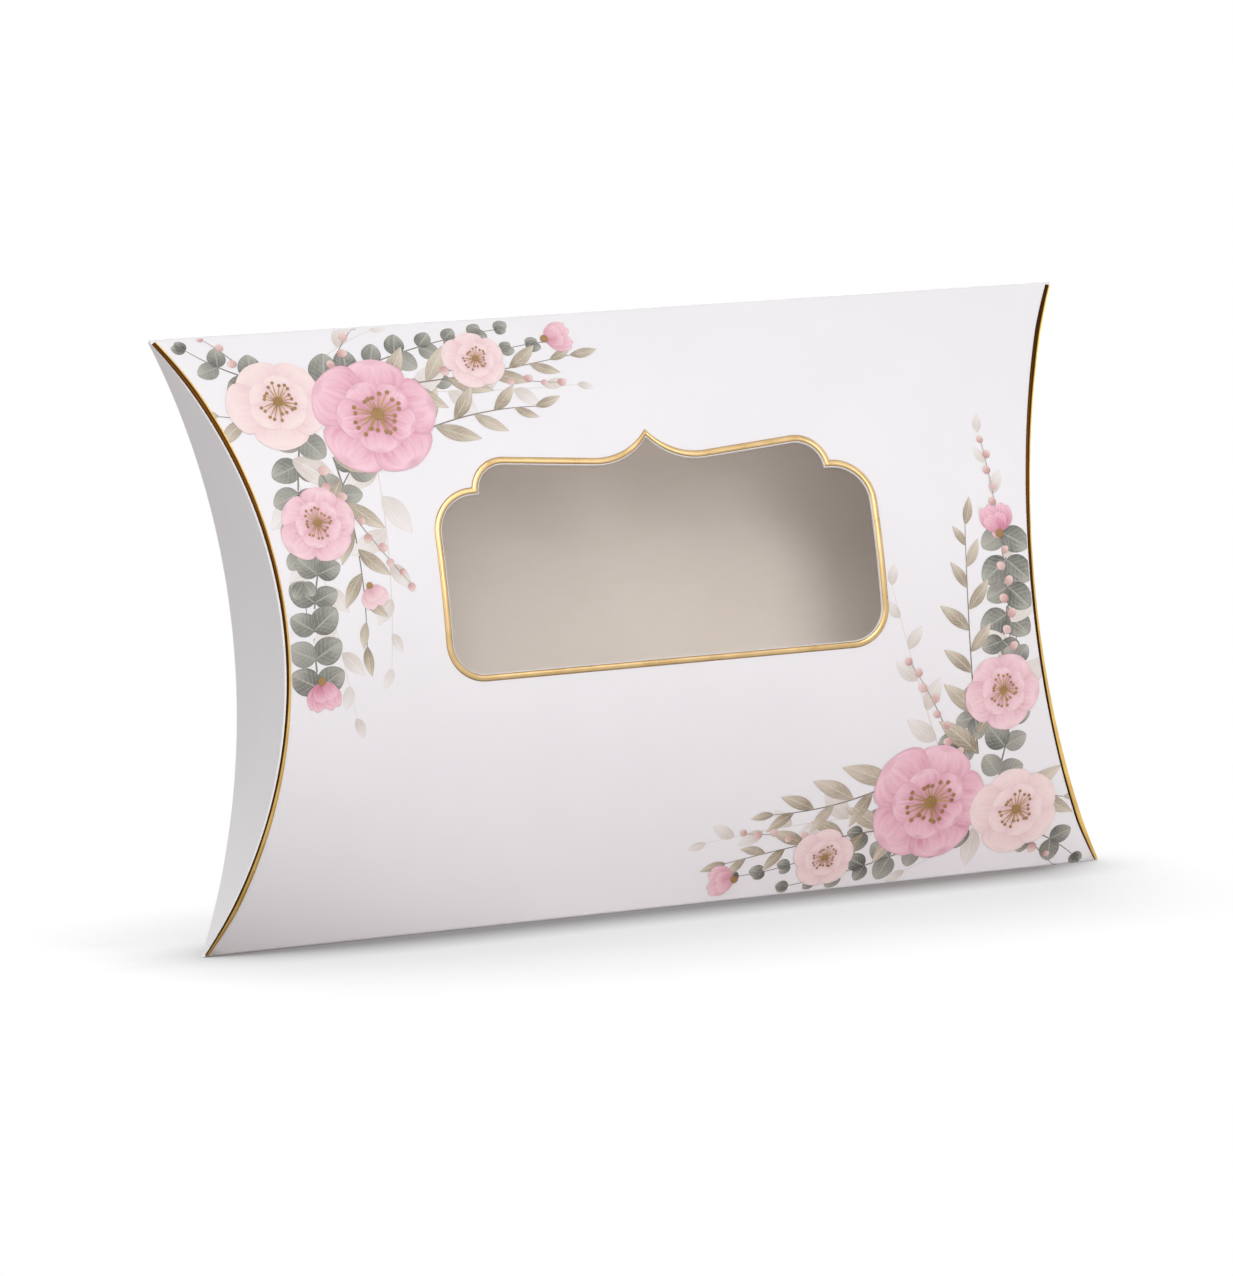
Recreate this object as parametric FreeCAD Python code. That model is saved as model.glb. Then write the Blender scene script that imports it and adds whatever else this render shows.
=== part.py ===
"""Pillow box: a folding carton with bowed panels, curved end flaps and a glazed die-cut window.

Frame: millimetres, +Z up, +X along the box, the front panel faces -Y.
The origin is under the middle of the box, on the surface that its lower edge touches.

Both panels are bowed about X and both ends are hollowed about Y by the same radius, so each panel
meets each end along a curve that lies in one plane at 45 degrees. That is what lets flat board fold there.
"""
import FreeCAD, Part
import math
import os

from FreeCAD import Vector

# Driving sizes of the made-up carton; the glued seam takes about half a millimetre off the panel height
BOX_LENGTH = 165.0
PANEL_HEIGHT = 102.6
BOX_DEPTH = 30.0
BOARD = 0.5
FOLD_INSIDE_RADIUS = 0.4

# Gaps between neighbouring pieces
FLAP_CLEARANCE = 0.3
CREASE_GAP = 0.2
LAMINATION_GAP = 0.02

# End flaps
INNER_FLAP_REACH = 3.0
FLAP_TIP_RELIEF = 2.0
FLAP_EDGE_SETBACK = 0.3

# Glued side seam
GLUE_FLAP_WIDTH = 14.0
GLUE_FLAP_END_INSET = 5.0
SEAM_ADHESIVE = 0.15
SEAM_ADHESIVE_WIDTH = 8.0
SEAM_ADHESIVE_END_INSET = 3.0

# Window outline, seen from the front, from the sill below mid-height up to the peak
WINDOW_WIDTH = 77.0
SILL_DROP = 8.2
WINDOW_CORNER_RADIUS = 5.5
SHOULDER_RISE = 29.8
SHOULDER_RADIUS = 6.3
LEDGE = 1.1
CROWN_RADIUS = 4.7
DIP_RISE = 3.3
DIP_OFFSET = 9.0
PEAK_RISE = 4.3

# Window glazing
FILM = 0.2
FILM_OVERLAP = 8.0
FILM_ADHESIVE = 0.15
FILM_ADHESIVE_WIDTH = 4.0
FILM_ADHESIVE_SETBACK = 2.0

# Raised foil lines
FOIL = 0.15
FOIL_SETBACK = 0.15
WINDOW_FOIL_WIDTH = 1.3
CREASE_FOIL_WIDTH = 1.3

# Sides of the box, as the sign of Y, and ends, as the sign of X
FRONT = -1
BACK = 1
LEFT = -1
RIGHT = 1

# Sizes that follow from the driving ones
HALF_LENGTH = BOX_LENGTH / 2
HALF_HEIGHT = PANEL_HEIGHT / 2
HALF_DEPTH = BOX_DEPTH / 2
FOLD_RADIUS = FOLD_INSIDE_RADIUS + BOARD
FOLD_REACH = HALF_HEIGHT - FOLD_RADIUS
BOW_RADIUS = (HALF_DEPTH**2 - FOLD_RADIUS**2 + FOLD_REACH**2) / (2 * (HALF_DEPTH - FOLD_RADIUS))
BOW_OFFSET = BOW_RADIUS - HALF_DEPTH
BOW_ANGLE = math.atan2(FOLD_REACH, BOW_OFFSET)
TIP_ANGLE = math.asin(HALF_HEIGHT / BOW_RADIUS)
INNER_FLAP_INSET = BOARD + FLAP_CLEARANCE

# The lower fold runs smoothly out of the front panel and into the glue flap, inside the back panel
GLUE_FLAP_RADIUS = BOW_RADIUS - BOARD - SEAM_ADHESIVE
FRONT_REACH = BOW_RADIUS - FOLD_RADIUS
GLUE_FLAP_REACH = GLUE_FLAP_RADIUS - FOLD_RADIUS
LOWER_FOLD_Y = (GLUE_FLAP_REACH**2 - FRONT_REACH**2) / (4 * BOW_OFFSET)
LOWER_FOLD_DROP = math.sqrt(FRONT_REACH**2 - (BOW_OFFSET - LOWER_FOLD_Y) ** 2)

# Heights above the surface that the lower fold and the back panel's lower edge touch
MID_HEIGHT = LOWER_FOLD_DROP + FOLD_RADIUS
SILL_HEIGHT = MID_HEIGHT - SILL_DROP
SHOULDER_HEIGHT = SILL_HEIGHT + SHOULDER_RISE
DIP_HEIGHT = SHOULDER_HEIGHT + DIP_RISE
PEAK_HEIGHT = DIP_HEIGHT + PEAK_RISE
OUTSIDE = BOX_LENGTH


def bow_point(side, radius, angle):
    """A point on a bowed layer of the front or back, in the plane X = 0; the angle rises from mid-height."""
    y = side * (radius * math.cos(angle) - BOW_OFFSET)
    return Vector(0, y, MID_HEIGHT + radius * math.sin(angle))


def end_point(end, radius, angle):
    """A point on a hollowed layer of one end, in the plane Y = 0; a larger radius is deeper in the box."""
    x = end * (HALF_LENGTH - (radius * math.cos(angle) - BOW_OFFSET))
    return Vector(x, 0, MID_HEIGHT + radius * math.sin(angle))


def arc(start, middle, finish):
    """The edge of a circular arc through three points."""
    return Part.Arc(start, middle, finish).toShape()


def line(start, finish):
    """A straight edge."""
    return Part.LineSegment(start, finish).toShape()


def face_of(edges):
    """The flat face inside edges that are given in order."""
    return Part.Face(Part.Wire(edges))


def layer_face(point, side, inner, outer, low, high):
    """The cross-section of a curved layer between two radii and two angles."""
    middle = (low + high) / 2
    corners = [point(side, radius, angle) for radius in (inner, outer) for angle in (low, high)]
    inner_arc = arc(corners[0], point(side, inner, middle), corners[1])
    outer_arc = arc(corners[3], point(side, outer, middle), corners[2])
    return face_of([inner_arc, line(corners[1], corners[3]), outer_arc, line(corners[2], corners[0])])


def bowed_layer(side, inner, outer, low=-BOW_ANGLE, high=BOW_ANGLE):
    """A layer that follows the front or back panel over the whole length of the box."""
    face = layer_face(bow_point, side, inner, outer, low, high)
    face.translate(Vector(-HALF_LENGTH, 0, 0))
    return face.extrude(Vector(BOX_LENGTH, 0, 0))


def hollowed_layer(end, inner, outer):
    """A layer that follows one hollowed end over the whole depth of the box."""
    face = layer_face(end_point, end, inner, outer, -BOW_ANGLE, BOW_ANGLE)
    face.translate(Vector(0, -HALF_DEPTH, 0))
    return face.extrude(Vector(0, BOX_DEPTH, 0))


def plan_prism(corners):
    """An upright prism through the whole height, on corners given as (x, y)."""
    points = [Vector(x, y, -HALF_HEIGHT) for x, y in corners]
    return Part.Face(Part.makePolygon(points + points[:1])).extrude(Vector(0, 0, 2 * PANEL_HEIGHT))


def crease_band(side, end, near, far):
    """The space between two planes parallel to a crease's plane.

    near and far are distances along X from the crease towards the middle of the box; side chooses
    the crease of the front or back panel.
    """
    def x_at(distance, depth):
        return end * (HALF_LENGTH - distance - depth)

    return plan_prism([
        (x_at(near, -HALF_DEPTH), -side * HALF_DEPTH),
        (x_at(far, -HALF_DEPTH), -side * HALF_DEPTH),
        (x_at(far, BOX_DEPTH), side * BOX_DEPTH),
        (x_at(near, BOX_DEPTH), side * BOX_DEPTH),
    ])


def between_creases(shape, side, inset):
    """Trim a strip at both ends, parallel to the plane of the creases of its side."""
    for end in (LEFT, RIGHT):
        shape = shape.cut(crease_band(side, end, -OUTSIDE, inset))
    return shape


def flap_side(side, end, inset, shift):
    """The space on the flap's side of a curved crease, mitred through the board.

    The crease is an arc of an ellipse in a plane at 45 degrees and the mitre runs square to that plane.
    The crease is set into the box by the inset, and the mitre is shifted towards the panel.
    """
    inward = Vector(-end, side, 0).normalize()
    square = Vector(-end, -side, 0).normalize()
    tip = Vector(end * (HALF_LENGTH - inset), 0, MID_HEIGHT) + inward * shift - square * BOX_DEPTH
    slant = math.sqrt(2)
    centre = tip - inward * (slant * BOW_OFFSET)
    across = centre + inward * (slant * BOW_RADIUS)
    upright = centre + Vector(0, 0, BOW_RADIUS)
    ellipse = Part.Ellipse(across, upright, centre)
    crease = Part.ArcOfEllipse(ellipse, -TIP_ANGLE, TIP_ANGLE)
    low = crease.StartPoint
    high = crease.EndPoint
    low_out = low - inward * BOX_DEPTH
    high_out = high - inward * BOX_DEPTH
    face = face_of([crease.toShape(), line(high, high_out), line(high_out, low_out), line(low_out, low)])
    return face.extrude(square * (2 * BOX_DEPTH))


def without_flap_sides(panel, side, inset):
    """Trim a panel at both curved creases of its side, leaving half of the crease's gap."""
    for end in (LEFT, RIGHT):
        panel = panel.cut(flap_side(side, end, inset, CREASE_GAP / 2))
    return panel


def lens_prism(front_depth, back_depth):
    """The space between a front and a back bow of given depths that meet at the folds."""
    foot = Vector(-OUTSIDE, 0, MID_HEIGHT - HALF_HEIGHT)
    head = Vector(-OUTSIDE, 0, MID_HEIGHT + HALF_HEIGHT)
    front = arc(foot, Vector(-OUTSIDE, -front_depth, MID_HEIGHT), head)
    back = arc(head, Vector(-OUTSIDE, back_depth, MID_HEIGHT), foot)
    return face_of([front, back]).extrude(Vector(2 * OUTSIDE, 0, 0))


def flap_band():
    """The heights that an end flap takes, short of both corners of the box."""
    height = PANEL_HEIGHT - 2 * FLAP_TIP_RELIEF
    slab = Part.makeBox(2 * OUTSIDE, 2 * OUTSIDE, height)
    slab.translate(Vector(-OUTSIDE, -OUTSIDE, MID_HEIGHT - height / 2))
    return slab


def fold_strip(y, drop, direction):
    """The board rolled about a fold's centre, from the front bow to the one behind it.

    The centre lies at y, a drop above or below mid-height: direction is 1 for the top and -1 for the bottom.
    """
    z = MID_HEIGHT + direction * drop
    front_angle = math.atan2(direction * drop, y - BOW_OFFSET)
    back_angle = math.atan2(direction * drop, y + BOW_OFFSET)
    middle_angle = (front_angle + back_angle) / 2

    def rim(radius, angle):
        return Vector(-HALF_LENGTH, y + radius * math.cos(angle), z + radius * math.sin(angle))

    outer = [rim(FOLD_RADIUS, angle) for angle in (front_angle, middle_angle, back_angle)]
    inner = [rim(FOLD_INSIDE_RADIUS, angle) for angle in (back_angle, middle_angle, front_angle)]
    edges = [arc(*outer), line(outer[2], inner[0]), arc(*inner), line(inner[2], outer[0])]
    strip = face_of(edges).extrude(Vector(BOX_LENGTH, 0, 0))
    strip = between_creases(strip, FRONT, 0)
    return between_creases(strip, BACK, INNER_FLAP_INSET)


def lower_fold_angle(side):
    """The angle at which the front panel or the glue flap runs into the lower fold."""
    return -math.atan2(LOWER_FOLD_DROP, BOW_OFFSET + side * LOWER_FOLD_Y)


def window_outline(grow):
    """The window's outline, grown outwards by a border width, as a prism through the front panel."""
    half = WINDOW_WIDTH / 2 + grow
    sill = SILL_HEIGHT - grow
    corner = WINDOW_CORNER_RADIUS + grow
    shoulder = SHOULDER_HEIGHT + grow
    round_off = SHOULDER_RADIUS + grow
    crown = CROWN_RADIUS + grow
    crown_x = WINDOW_WIDTH / 2 - SHOULDER_RADIUS - LEDGE - CROWN_RADIUS
    cusp_x = crown_x + math.sqrt(crown**2 - grow**2)
    sweep = (DIP_OFFSET**2 + PEAK_RISE**2) / (2 * PEAK_RISE)
    crown_centre = Vector(crown_x, 0, SHOULDER_HEIGHT)
    sweep_centre = Vector(DIP_OFFSET, 0, DIP_HEIGHT + grow + sweep)

    # The straight run leaves the crown and enters the hollow sweep along their common tangent
    across = sweep_centre - crown_centre
    tilt = math.atan2(across.z, across.x) - math.acos((crown + sweep) / across.Length)
    normal = Vector(math.cos(tilt), 0, math.sin(tilt))
    leave = crown_centre + normal * crown
    enter = sweep_centre - normal * sweep
    peak = Vector(0, 0, PEAK_HEIGHT + grow)

    def on_circle(centre, radius, toward):
        return centre + (toward - centre).normalize() * radius

    def corner_arc(start, finish, centre, radius):
        return arc(start, on_circle(centre, radius, (start + finish) / 2), finish)

    foot = Vector(half - corner, 0, sill)
    knee = Vector(half, 0, sill + corner)
    hip = Vector(half, 0, shoulder - round_off)
    ledge_start = Vector(half - round_off, 0, shoulder)
    cusp = Vector(cusp_x, 0, shoulder)
    half_edges = [
        line(Vector(0, 0, sill), foot),
        corner_arc(foot, knee, Vector(half - corner, 0, sill + corner), corner),
        line(knee, hip),
        corner_arc(hip, ledge_start, Vector(half - round_off, 0, shoulder - round_off), round_off),
        line(ledge_start, cusp),
        corner_arc(cusp, leave, crown_centre, crown),
        line(leave, enter),
        corner_arc(enter, peak, sweep_centre, sweep),
    ]
    mirrored = [edge.mirror(Vector(0, 0, 0), Vector(1, 0, 0)) for edge in half_edges]
    wire = Part.Wire(Part.__sortEdges__(half_edges + mirrored))
    face = Part.Face(wire)
    face.translate(Vector(0, -BOX_DEPTH, 0))
    return face.extrude(Vector(0, BOX_DEPTH, 0))


def front_panel():
    """The front of the carton, with the window cut out of it."""
    panel = bowed_layer(FRONT, BOW_RADIUS - BOARD, BOW_RADIUS, low=lower_fold_angle(FRONT))
    return without_flap_sides(panel, FRONT, 0).cut(window_outline(0))


def back_panel():
    """The plain back; its lower cut edge covers the glue flap and touches the surface below."""
    lower_edge = -math.asin(MID_HEIGHT / BOW_RADIUS)
    panel = bowed_layer(BACK, BOW_RADIUS - BOARD, BOW_RADIUS, low=lower_edge)
    return without_flap_sides(panel, BACK, INNER_FLAP_INSET)


def glue_flap():
    """The seam flap that the front panel carries round the lower fold, under the back panel."""
    low = lower_fold_angle(BACK)
    high = low + GLUE_FLAP_WIDTH / GLUE_FLAP_RADIUS
    strip = bowed_layer(BACK, GLUE_FLAP_RADIUS - BOARD, GLUE_FLAP_RADIUS, low, high)
    return between_creases(strip, BACK, INNER_FLAP_INSET + GLUE_FLAP_END_INSET)


def seam_adhesive():
    """The line of glue between the glue flap and the back panel."""
    middle = lower_fold_angle(BACK) + GLUE_FLAP_WIDTH / GLUE_FLAP_RADIUS / 2
    spread = SEAM_ADHESIVE_WIDTH / GLUE_FLAP_RADIUS / 2
    inner = GLUE_FLAP_RADIUS + LAMINATION_GAP
    outer = BOW_RADIUS - BOARD - LAMINATION_GAP
    strip = bowed_layer(BACK, inner, outer, middle - spread, middle + spread)
    return between_creases(strip, BACK, INNER_FLAP_INSET + GLUE_FLAP_END_INSET + SEAM_ADHESIVE_END_INSET)


def window_sheet(inner, outer, overlap):
    """A bowed sheet behind the window that reaches past its outline by an overlap."""
    width = WINDOW_WIDTH + 2 * overlap
    low = SILL_HEIGHT - overlap
    high = PEAK_HEIGHT + overlap
    block = Part.makeBox(width, BOX_DEPTH, high - low)
    block.translate(Vector(-width / 2, -BOX_DEPTH, low))
    return bowed_layer(FRONT, inner, outer).common(block)


def window_film():
    """The clear pane glued inside the window."""
    outer = BOW_RADIUS - BOARD - FILM_ADHESIVE
    return window_sheet(outer - FILM, outer, FILM_OVERLAP)


def film_adhesive():
    """The ring of adhesive between the film and the inside of the front panel."""
    inner = BOW_RADIUS - BOARD - FILM_ADHESIVE + LAMINATION_GAP
    outer = BOW_RADIUS - BOARD - LAMINATION_GAP
    ring = window_sheet(inner, outer, FILM_ADHESIVE_SETBACK + FILM_ADHESIVE_WIDTH)
    return ring.cut(window_outline(FILM_ADHESIVE_SETBACK))


def foil_layer():
    """The height that raised foil takes on the front panel."""
    inner = BOW_RADIUS + LAMINATION_GAP
    return bowed_layer(FRONT, inner, inner + FOIL, low=lower_fold_angle(FRONT))


def window_foil():
    """The raised foil border round the window."""
    border = foil_layer().common(window_outline(FOIL_SETBACK + WINDOW_FOIL_WIDTH))
    return border.cut(window_outline(FOIL_SETBACK))


def crease_foil(end):
    """The raised foil line along one curved crease of the front panel."""
    near = CREASE_GAP / 2 + FOIL_SETBACK
    return foil_layer().common(crease_band(FRONT, end, near, near + CREASE_FOIL_WIDTH))


def outer_flap(end):
    """The full end flap that hinges on the front panel's crease."""
    shell = hollowed_layer(end, BOW_RADIUS, BOW_RADIUS + BOARD)
    shell = shell.common(lens_prism(BOX_DEPTH, HALF_DEPTH - FLAP_EDGE_SETBACK))
    shell = shell.common(flap_side(FRONT, end, 0, -CREASE_GAP / 2))
    return shell.common(flap_band())


def inner_flap(end):
    """The shorter end flap that hinges on the back panel's crease, under the outer flap."""
    radius = BOW_RADIUS + INNER_FLAP_INSET
    shell = hollowed_layer(end, radius, radius + BOARD)
    shell = shell.common(lens_prism(INNER_FLAP_REACH, BOX_DEPTH))
    shell = shell.common(flap_side(BACK, end, INNER_FLAP_INSET, -CREASE_GAP / 2))
    return shell.common(flap_band())


def build():
    """Every piece of the carton by name."""
    return {
        "front_panel": front_panel(),
        "back_panel": back_panel(),
        "top_fold": fold_strip(0, FOLD_REACH, 1),
        "bottom_fold": fold_strip(LOWER_FOLD_Y, LOWER_FOLD_DROP, -1),
        "glue_flap": glue_flap(),
        "seam_adhesive": seam_adhesive(),
        "window_film": window_film(),
        "film_adhesive": film_adhesive(),
        "window_foil_border": window_foil(),
        "left_crease_foil": crease_foil(LEFT),
        "right_crease_foil": crease_foil(RIGHT),
        "left_outer_flap": outer_flap(LEFT),
        "right_outer_flap": outer_flap(RIGHT),
        "left_inner_flap": inner_flap(LEFT),
        "right_inner_flap": inner_flap(RIGHT),
    }


os.makedirs("parts", exist_ok=True)
for name, shape in build().items():
    shape.exportStep(f"parts/{name}.step")
    box = shape.BoundBox
    size = f"{box.XLength:.2f} x {box.YLength:.2f} x {box.ZLength:.2f}"
    print(f"{name}: {len(shape.Solids)} solid, valid {shape.isValid()}, {shape.Volume:.1f} mm3, {size} mm")
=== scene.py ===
# %% [markdown]
# # A pillow box and its looks
#
# A pillow box is one die-cut sheet of coated board. Its two panels are bowed and its ends are closed by
# curved flaps that fold along curved creases. This lesson loads the packed carton as a fixed frame, in
# metres, and builds the visible board, foil, film and print around it.

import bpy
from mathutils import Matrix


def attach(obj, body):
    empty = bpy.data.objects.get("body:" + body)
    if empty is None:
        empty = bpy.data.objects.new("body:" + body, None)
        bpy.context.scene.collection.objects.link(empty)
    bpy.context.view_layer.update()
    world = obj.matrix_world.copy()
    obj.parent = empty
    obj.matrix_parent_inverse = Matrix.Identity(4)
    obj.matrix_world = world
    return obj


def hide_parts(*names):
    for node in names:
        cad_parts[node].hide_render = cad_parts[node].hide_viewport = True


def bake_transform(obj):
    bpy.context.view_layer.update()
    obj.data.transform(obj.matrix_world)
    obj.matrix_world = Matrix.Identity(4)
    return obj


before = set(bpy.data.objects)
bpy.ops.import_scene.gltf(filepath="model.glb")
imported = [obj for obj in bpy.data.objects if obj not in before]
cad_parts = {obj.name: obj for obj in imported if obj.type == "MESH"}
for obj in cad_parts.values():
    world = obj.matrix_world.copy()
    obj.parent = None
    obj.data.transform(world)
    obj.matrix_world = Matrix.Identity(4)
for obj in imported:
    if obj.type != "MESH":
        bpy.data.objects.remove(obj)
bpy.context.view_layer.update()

# %% [markdown]
# ## Sizes
#
# Both panels and both ends are bent to the same radius, so each panel meets each end along a curve in a
# plane at 45 degrees. A few sizes therefore give every curve of the box, and the rest are worked out from
# them in the same way as in the solids.

# %% Sizes of the carton
import math

import bmesh
import bpy
import numpy as np
from mathutils import Matrix, Vector
from mathutils.geometry import delaunay_2d_cdt

MM = 0.001
HALF_LENGTH = 82.5 * MM
HALF_HEIGHT = 51.3 * MM
HALF_DEPTH = 15.0 * MM
BOARD = 0.5 * MM
FOLD_RADIUS = 0.9 * MM
SEAM_GLUE = 0.15 * MM
GLUE_FLAP_WIDTH = 14.0 * MM
INNER_FLAP_INSET = 0.8 * MM
FOLD_REACH = HALF_HEIGHT - FOLD_RADIUS
BOW_RADIUS = (HALF_DEPTH**2 - FOLD_RADIUS**2 + FOLD_REACH**2) / (2 * (HALF_DEPTH - FOLD_RADIUS))
BOW_OFFSET = BOW_RADIUS - HALF_DEPTH
BOW_ANGLE = math.atan2(FOLD_REACH, BOW_OFFSET)
GLUE_FLAP_RADIUS = BOW_RADIUS - BOARD - SEAM_GLUE
FRONT_REACH = BOW_RADIUS - FOLD_RADIUS
GLUE_REACH = GLUE_FLAP_RADIUS - FOLD_RADIUS
LOWER_FOLD_Y = (GLUE_REACH**2 - FRONT_REACH**2) / (4 * BOW_OFFSET)
LOWER_FOLD_DROP = math.sqrt(FRONT_REACH**2 - (BOW_OFFSET - LOWER_FOLD_Y) ** 2)
MID_HEIGHT = LOWER_FOLD_DROP + FOLD_RADIUS
print(f"bow radius {BOW_RADIUS / MM:.2f} mm, mid-height {MID_HEIGHT / MM:.2f} mm")

# %% [markdown]
# ## Camera
#
# The four corners and the creases of the photographed box fix the camera: how the box is turned, tipped
# and rolled before it, and how far away it is. A long lens keeps the perspective as gentle as in the
# photograph.

# %% Camera at the photograph's angle
IMAGE_HEIGHT = 1276
FOCAL_PIXELS = 5000
BOX_ROLL, BOX_PITCH, BOX_TURN = -4.85, 0.61, 20.13
BOX_PLACE = Vector((3.77, 850.74, 4.67)) * MM
roll = Matrix.Rotation(math.radians(BOX_ROLL), 3, "Y")
pitch = Matrix.Rotation(math.radians(BOX_PITCH), 3, "X")
turn = Matrix.Rotation(math.radians(BOX_TURN), 3, "Z")
to_box = (roll @ pitch @ turn).transposed()
eye = Vector((0, 0, MID_HEIGHT)) - to_box @ BOX_PLACE
right, ahead, up = to_box.transposed()
camera_data = bpy.data.cameras.new("portrait_camera")
camera_data.lens = FOCAL_PIXELS * camera_data.sensor_width / IMAGE_HEIGHT
camera = bpy.data.objects.new("portrait_camera", camera_data)
camera.matrix_world = Matrix.Translation(eye) @ Matrix((right, up, -ahead)).transposed().to_4x4()
bpy.context.scene.collection.objects.link(camera)
bpy.context.scene.camera = camera
print("camera stands at", tuple(round(value, 3) for value in eye))
print(f"its lens is {camera_data.lens:.1f} mm long")

# %% [markdown]
# ## A short way to write node trees
#
# Materials and Geometry Nodes are both trees of nodes, and most of the nodes do arithmetic. Here the
# output of a node is a value that Python can add and multiply. Each such step adds a Math node, so a tree
# reads like the formula that it works out.

# %% Nodes and their values
def put(tree, kind, inputs=None, **properties):
    """Add a node; an input takes a constant, or the value that feeds it."""
    new = tree.nodes.new(kind)
    for name, value in properties.items():
        setattr(new, name, value)
    for socket, value in (inputs or {}).items():
        if isinstance(value, Value):
            tree.links.new(value.socket, new.inputs[socket])
        else:
            new.inputs[socket].default_value = value
    return new


def give(tree, kind, inputs=None, output=0, **properties):
    """Add a node and return one of its outputs as a value."""
    return Value(tree, put(tree, kind, inputs, **properties).outputs[output])


def full_colour(colour):
    """A colour as a socket takes it, with its alpha."""
    return colour if isinstance(colour, Value) else (*colour, 1)


class Value:
    """What a node gives out; arithmetic with it adds nodes to the same tree."""

    def __init__(self, tree, socket):
        self.tree = tree
        self.socket = socket

    def math(self, operation, second=0.0):
        return give(self.tree, "ShaderNodeMath", {0: self, 1: second}, operation=operation)

    def __add__(self, other):
        return self.math("ADD", other)

    def __sub__(self, other):
        return self.math("SUBTRACT", other)

    def __rsub__(self, other):
        return give(self.tree, "ShaderNodeMath", {0: other, 1: self}, operation="SUBTRACT")

    def __mul__(self, other):
        return self.math("MULTIPLY", other)

    def __truediv__(self, other):
        return self.math("DIVIDE", other)

    def __pow__(self, other):
        return self.math("POWER", other)

    def __abs__(self):
        return self.math("ABSOLUTE")

    def at_least(self, other):
        return self.math("MAXIMUM", other)

    def at_most(self, other):
        return self.math("MINIMUM", other)

    def spread(self, low, high, to_low=0, to_high=1):
        """This value carried from one range to another, and held at its ends."""
        inputs = {0: self, 1: low, 2: high, 3: to_low, 4: to_high}
        return give(self.tree, "ShaderNodeMapRange", inputs)

    def stretch(self, to_low=0, to_high=1):
        """Noise, which mostly stays between 0.3 and 0.7, carried to a whole range."""
        return self.spread(0.3, 0.7, to_low, to_high)

    def tint(self, low, high):
        """A colour between two others, by this share."""
        inputs = {0: self, 6: full_colour(low), 7: full_colour(high)}
        return give(self.tree, "ShaderNodeMix", inputs, 2, data_type="RGBA")

    def bump(self, strength, distance):
        """A normal that follows this height."""
        inputs = {"Height": self, "Strength": strength, "Distance": distance}
        return give(self.tree, "ShaderNodeBump", inputs)


print("a value knows", [name for name in vars(Value) if not name.startswith("_")])

# %% What every finish uses
def grain(tree, scale, detail=2.0, roughness=0.5, stretch=(1, 1, 1)):
    """Noise on the object's own coordinates, from 0 to 1; scale counts features per metre."""
    place = give(tree, "ShaderNodeTexCoord", output="Object")
    mapped = give(tree, "ShaderNodeMapping", {"Vector": place, "Scale": stretch})
    inputs = {"Vector": mapped, "Scale": scale, "Detail": detail, "Roughness": roughness}
    return give(tree, "ShaderNodeTexNoise", inputs)


def attribute(tree, name):
    """A number that the piece's own mesh carries."""
    return give(tree, "ShaderNodeAttribute", output="Fac", attribute_name=name)


def new_finish(name, **constants):
    """A material with an empty tree and one shader, whose constants are set on its own sockets."""
    material = bpy.data.materials.new(name)
    material.use_nodes = True
    tree = material.node_tree
    tree.nodes.clear()
    shader = put(tree, "ShaderNodeBsdfPrincipled", constants)
    put(tree, "ShaderNodeOutputMaterial", {"Surface": Value(tree, shader.outputs[0])})
    return material, tree, shader


def feed(shader, **values):
    """Link values into a shader's sockets; underscores stand for spaces."""
    for name, value in values.items():
        value.tree.links.new(value.socket, shader.inputs[name.replace("_", " ")])


# %% [markdown]
# ## Board
#
# The outside of the sheet is clay-coated and laminated: nearly white, satin, with a very fine orange
# peel. The inside is bare board, warmer and matt, with short fibres. The cut edge shows the pale core.
# Noise on Object coordinates gives each of them its grain at real size.

# %% Finishes of the board
COAT_TONES = (0.834, 0.814, 0.843), (0.854, 0.834, 0.863)
FOLD_HIGHLIGHT = (0.985, 0.98, 0.985)
BARE_TONES = (0.935, 0.845, 0.77), (0.955, 0.87, 0.795)
FLECK = (0.83, 0.72, 0.62)
CORE_TONES = (0.86, 0.84, 0.81), (0.93, 0.92, 0.90)


def coated_finish():
    material, tree, shader = new_finish("white_coated_board")
    peel = grain(tree, 2600, 2)
    colour = grain(tree, 55, 3).stretch().tint(*COAT_TONES)
    # A painted highlight: points marked "fold" on a flap's bend are tinted nearly white, as if the crease
    # caught the light.
    feed(shader, Base_Color=attribute(tree, "fold").tint(colour, FOLD_HIGHLIGHT))
    feed(shader, Roughness=peel.stretch(0.42, 0.54), Normal=peel.bump(0.25, 0.00001))
    return material


def bare_finish():
    material, tree, shader = new_finish("bare_inside_board")
    fibre = grain(tree, 900, 4, 0.65, (0.35, 1, 1))
    colour = grain(tree, 90, 3).stretch().tint(*BARE_TONES)
    feed(shader, Base_Color=fibre.spread(0.35, 0.75, 0, 0.2).tint(colour, FLECK))
    feed(shader, Roughness=fibre.stretch(0.8, 0.95), Normal=fibre.bump(0.5, 0.00004))
    return material


def cut_finish():
    material, tree, shader = new_finish("cut_edge_of_board")
    core = grain(tree, 3500, 4, 0.7)
    feed(shader, Base_Color=core.stretch().tint(*CORE_TONES))
    feed(shader, Roughness=core.stretch(0.75, 0.9), Normal=core.bump(0.6, 0.00003))
    return material


BOARD_FINISHES = [coated_finish(), bare_finish(), cut_finish()]
OUTSIDE, INSIDE, CUT = range(3)
print("board finishes:", [finish.name for finish in BOARD_FINISHES])

# %% [markdown]
# ## Section of the sleeve
#
# Seen from the end, the sheet runs round the box as five arcs that flow into each other: the glue flap,
# the lower fold, the front, the top fold and the back. Each arc is a centre, a radius and two angles, so
# a distance along the sheet gives an exact point and an exact outward direction.

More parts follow.
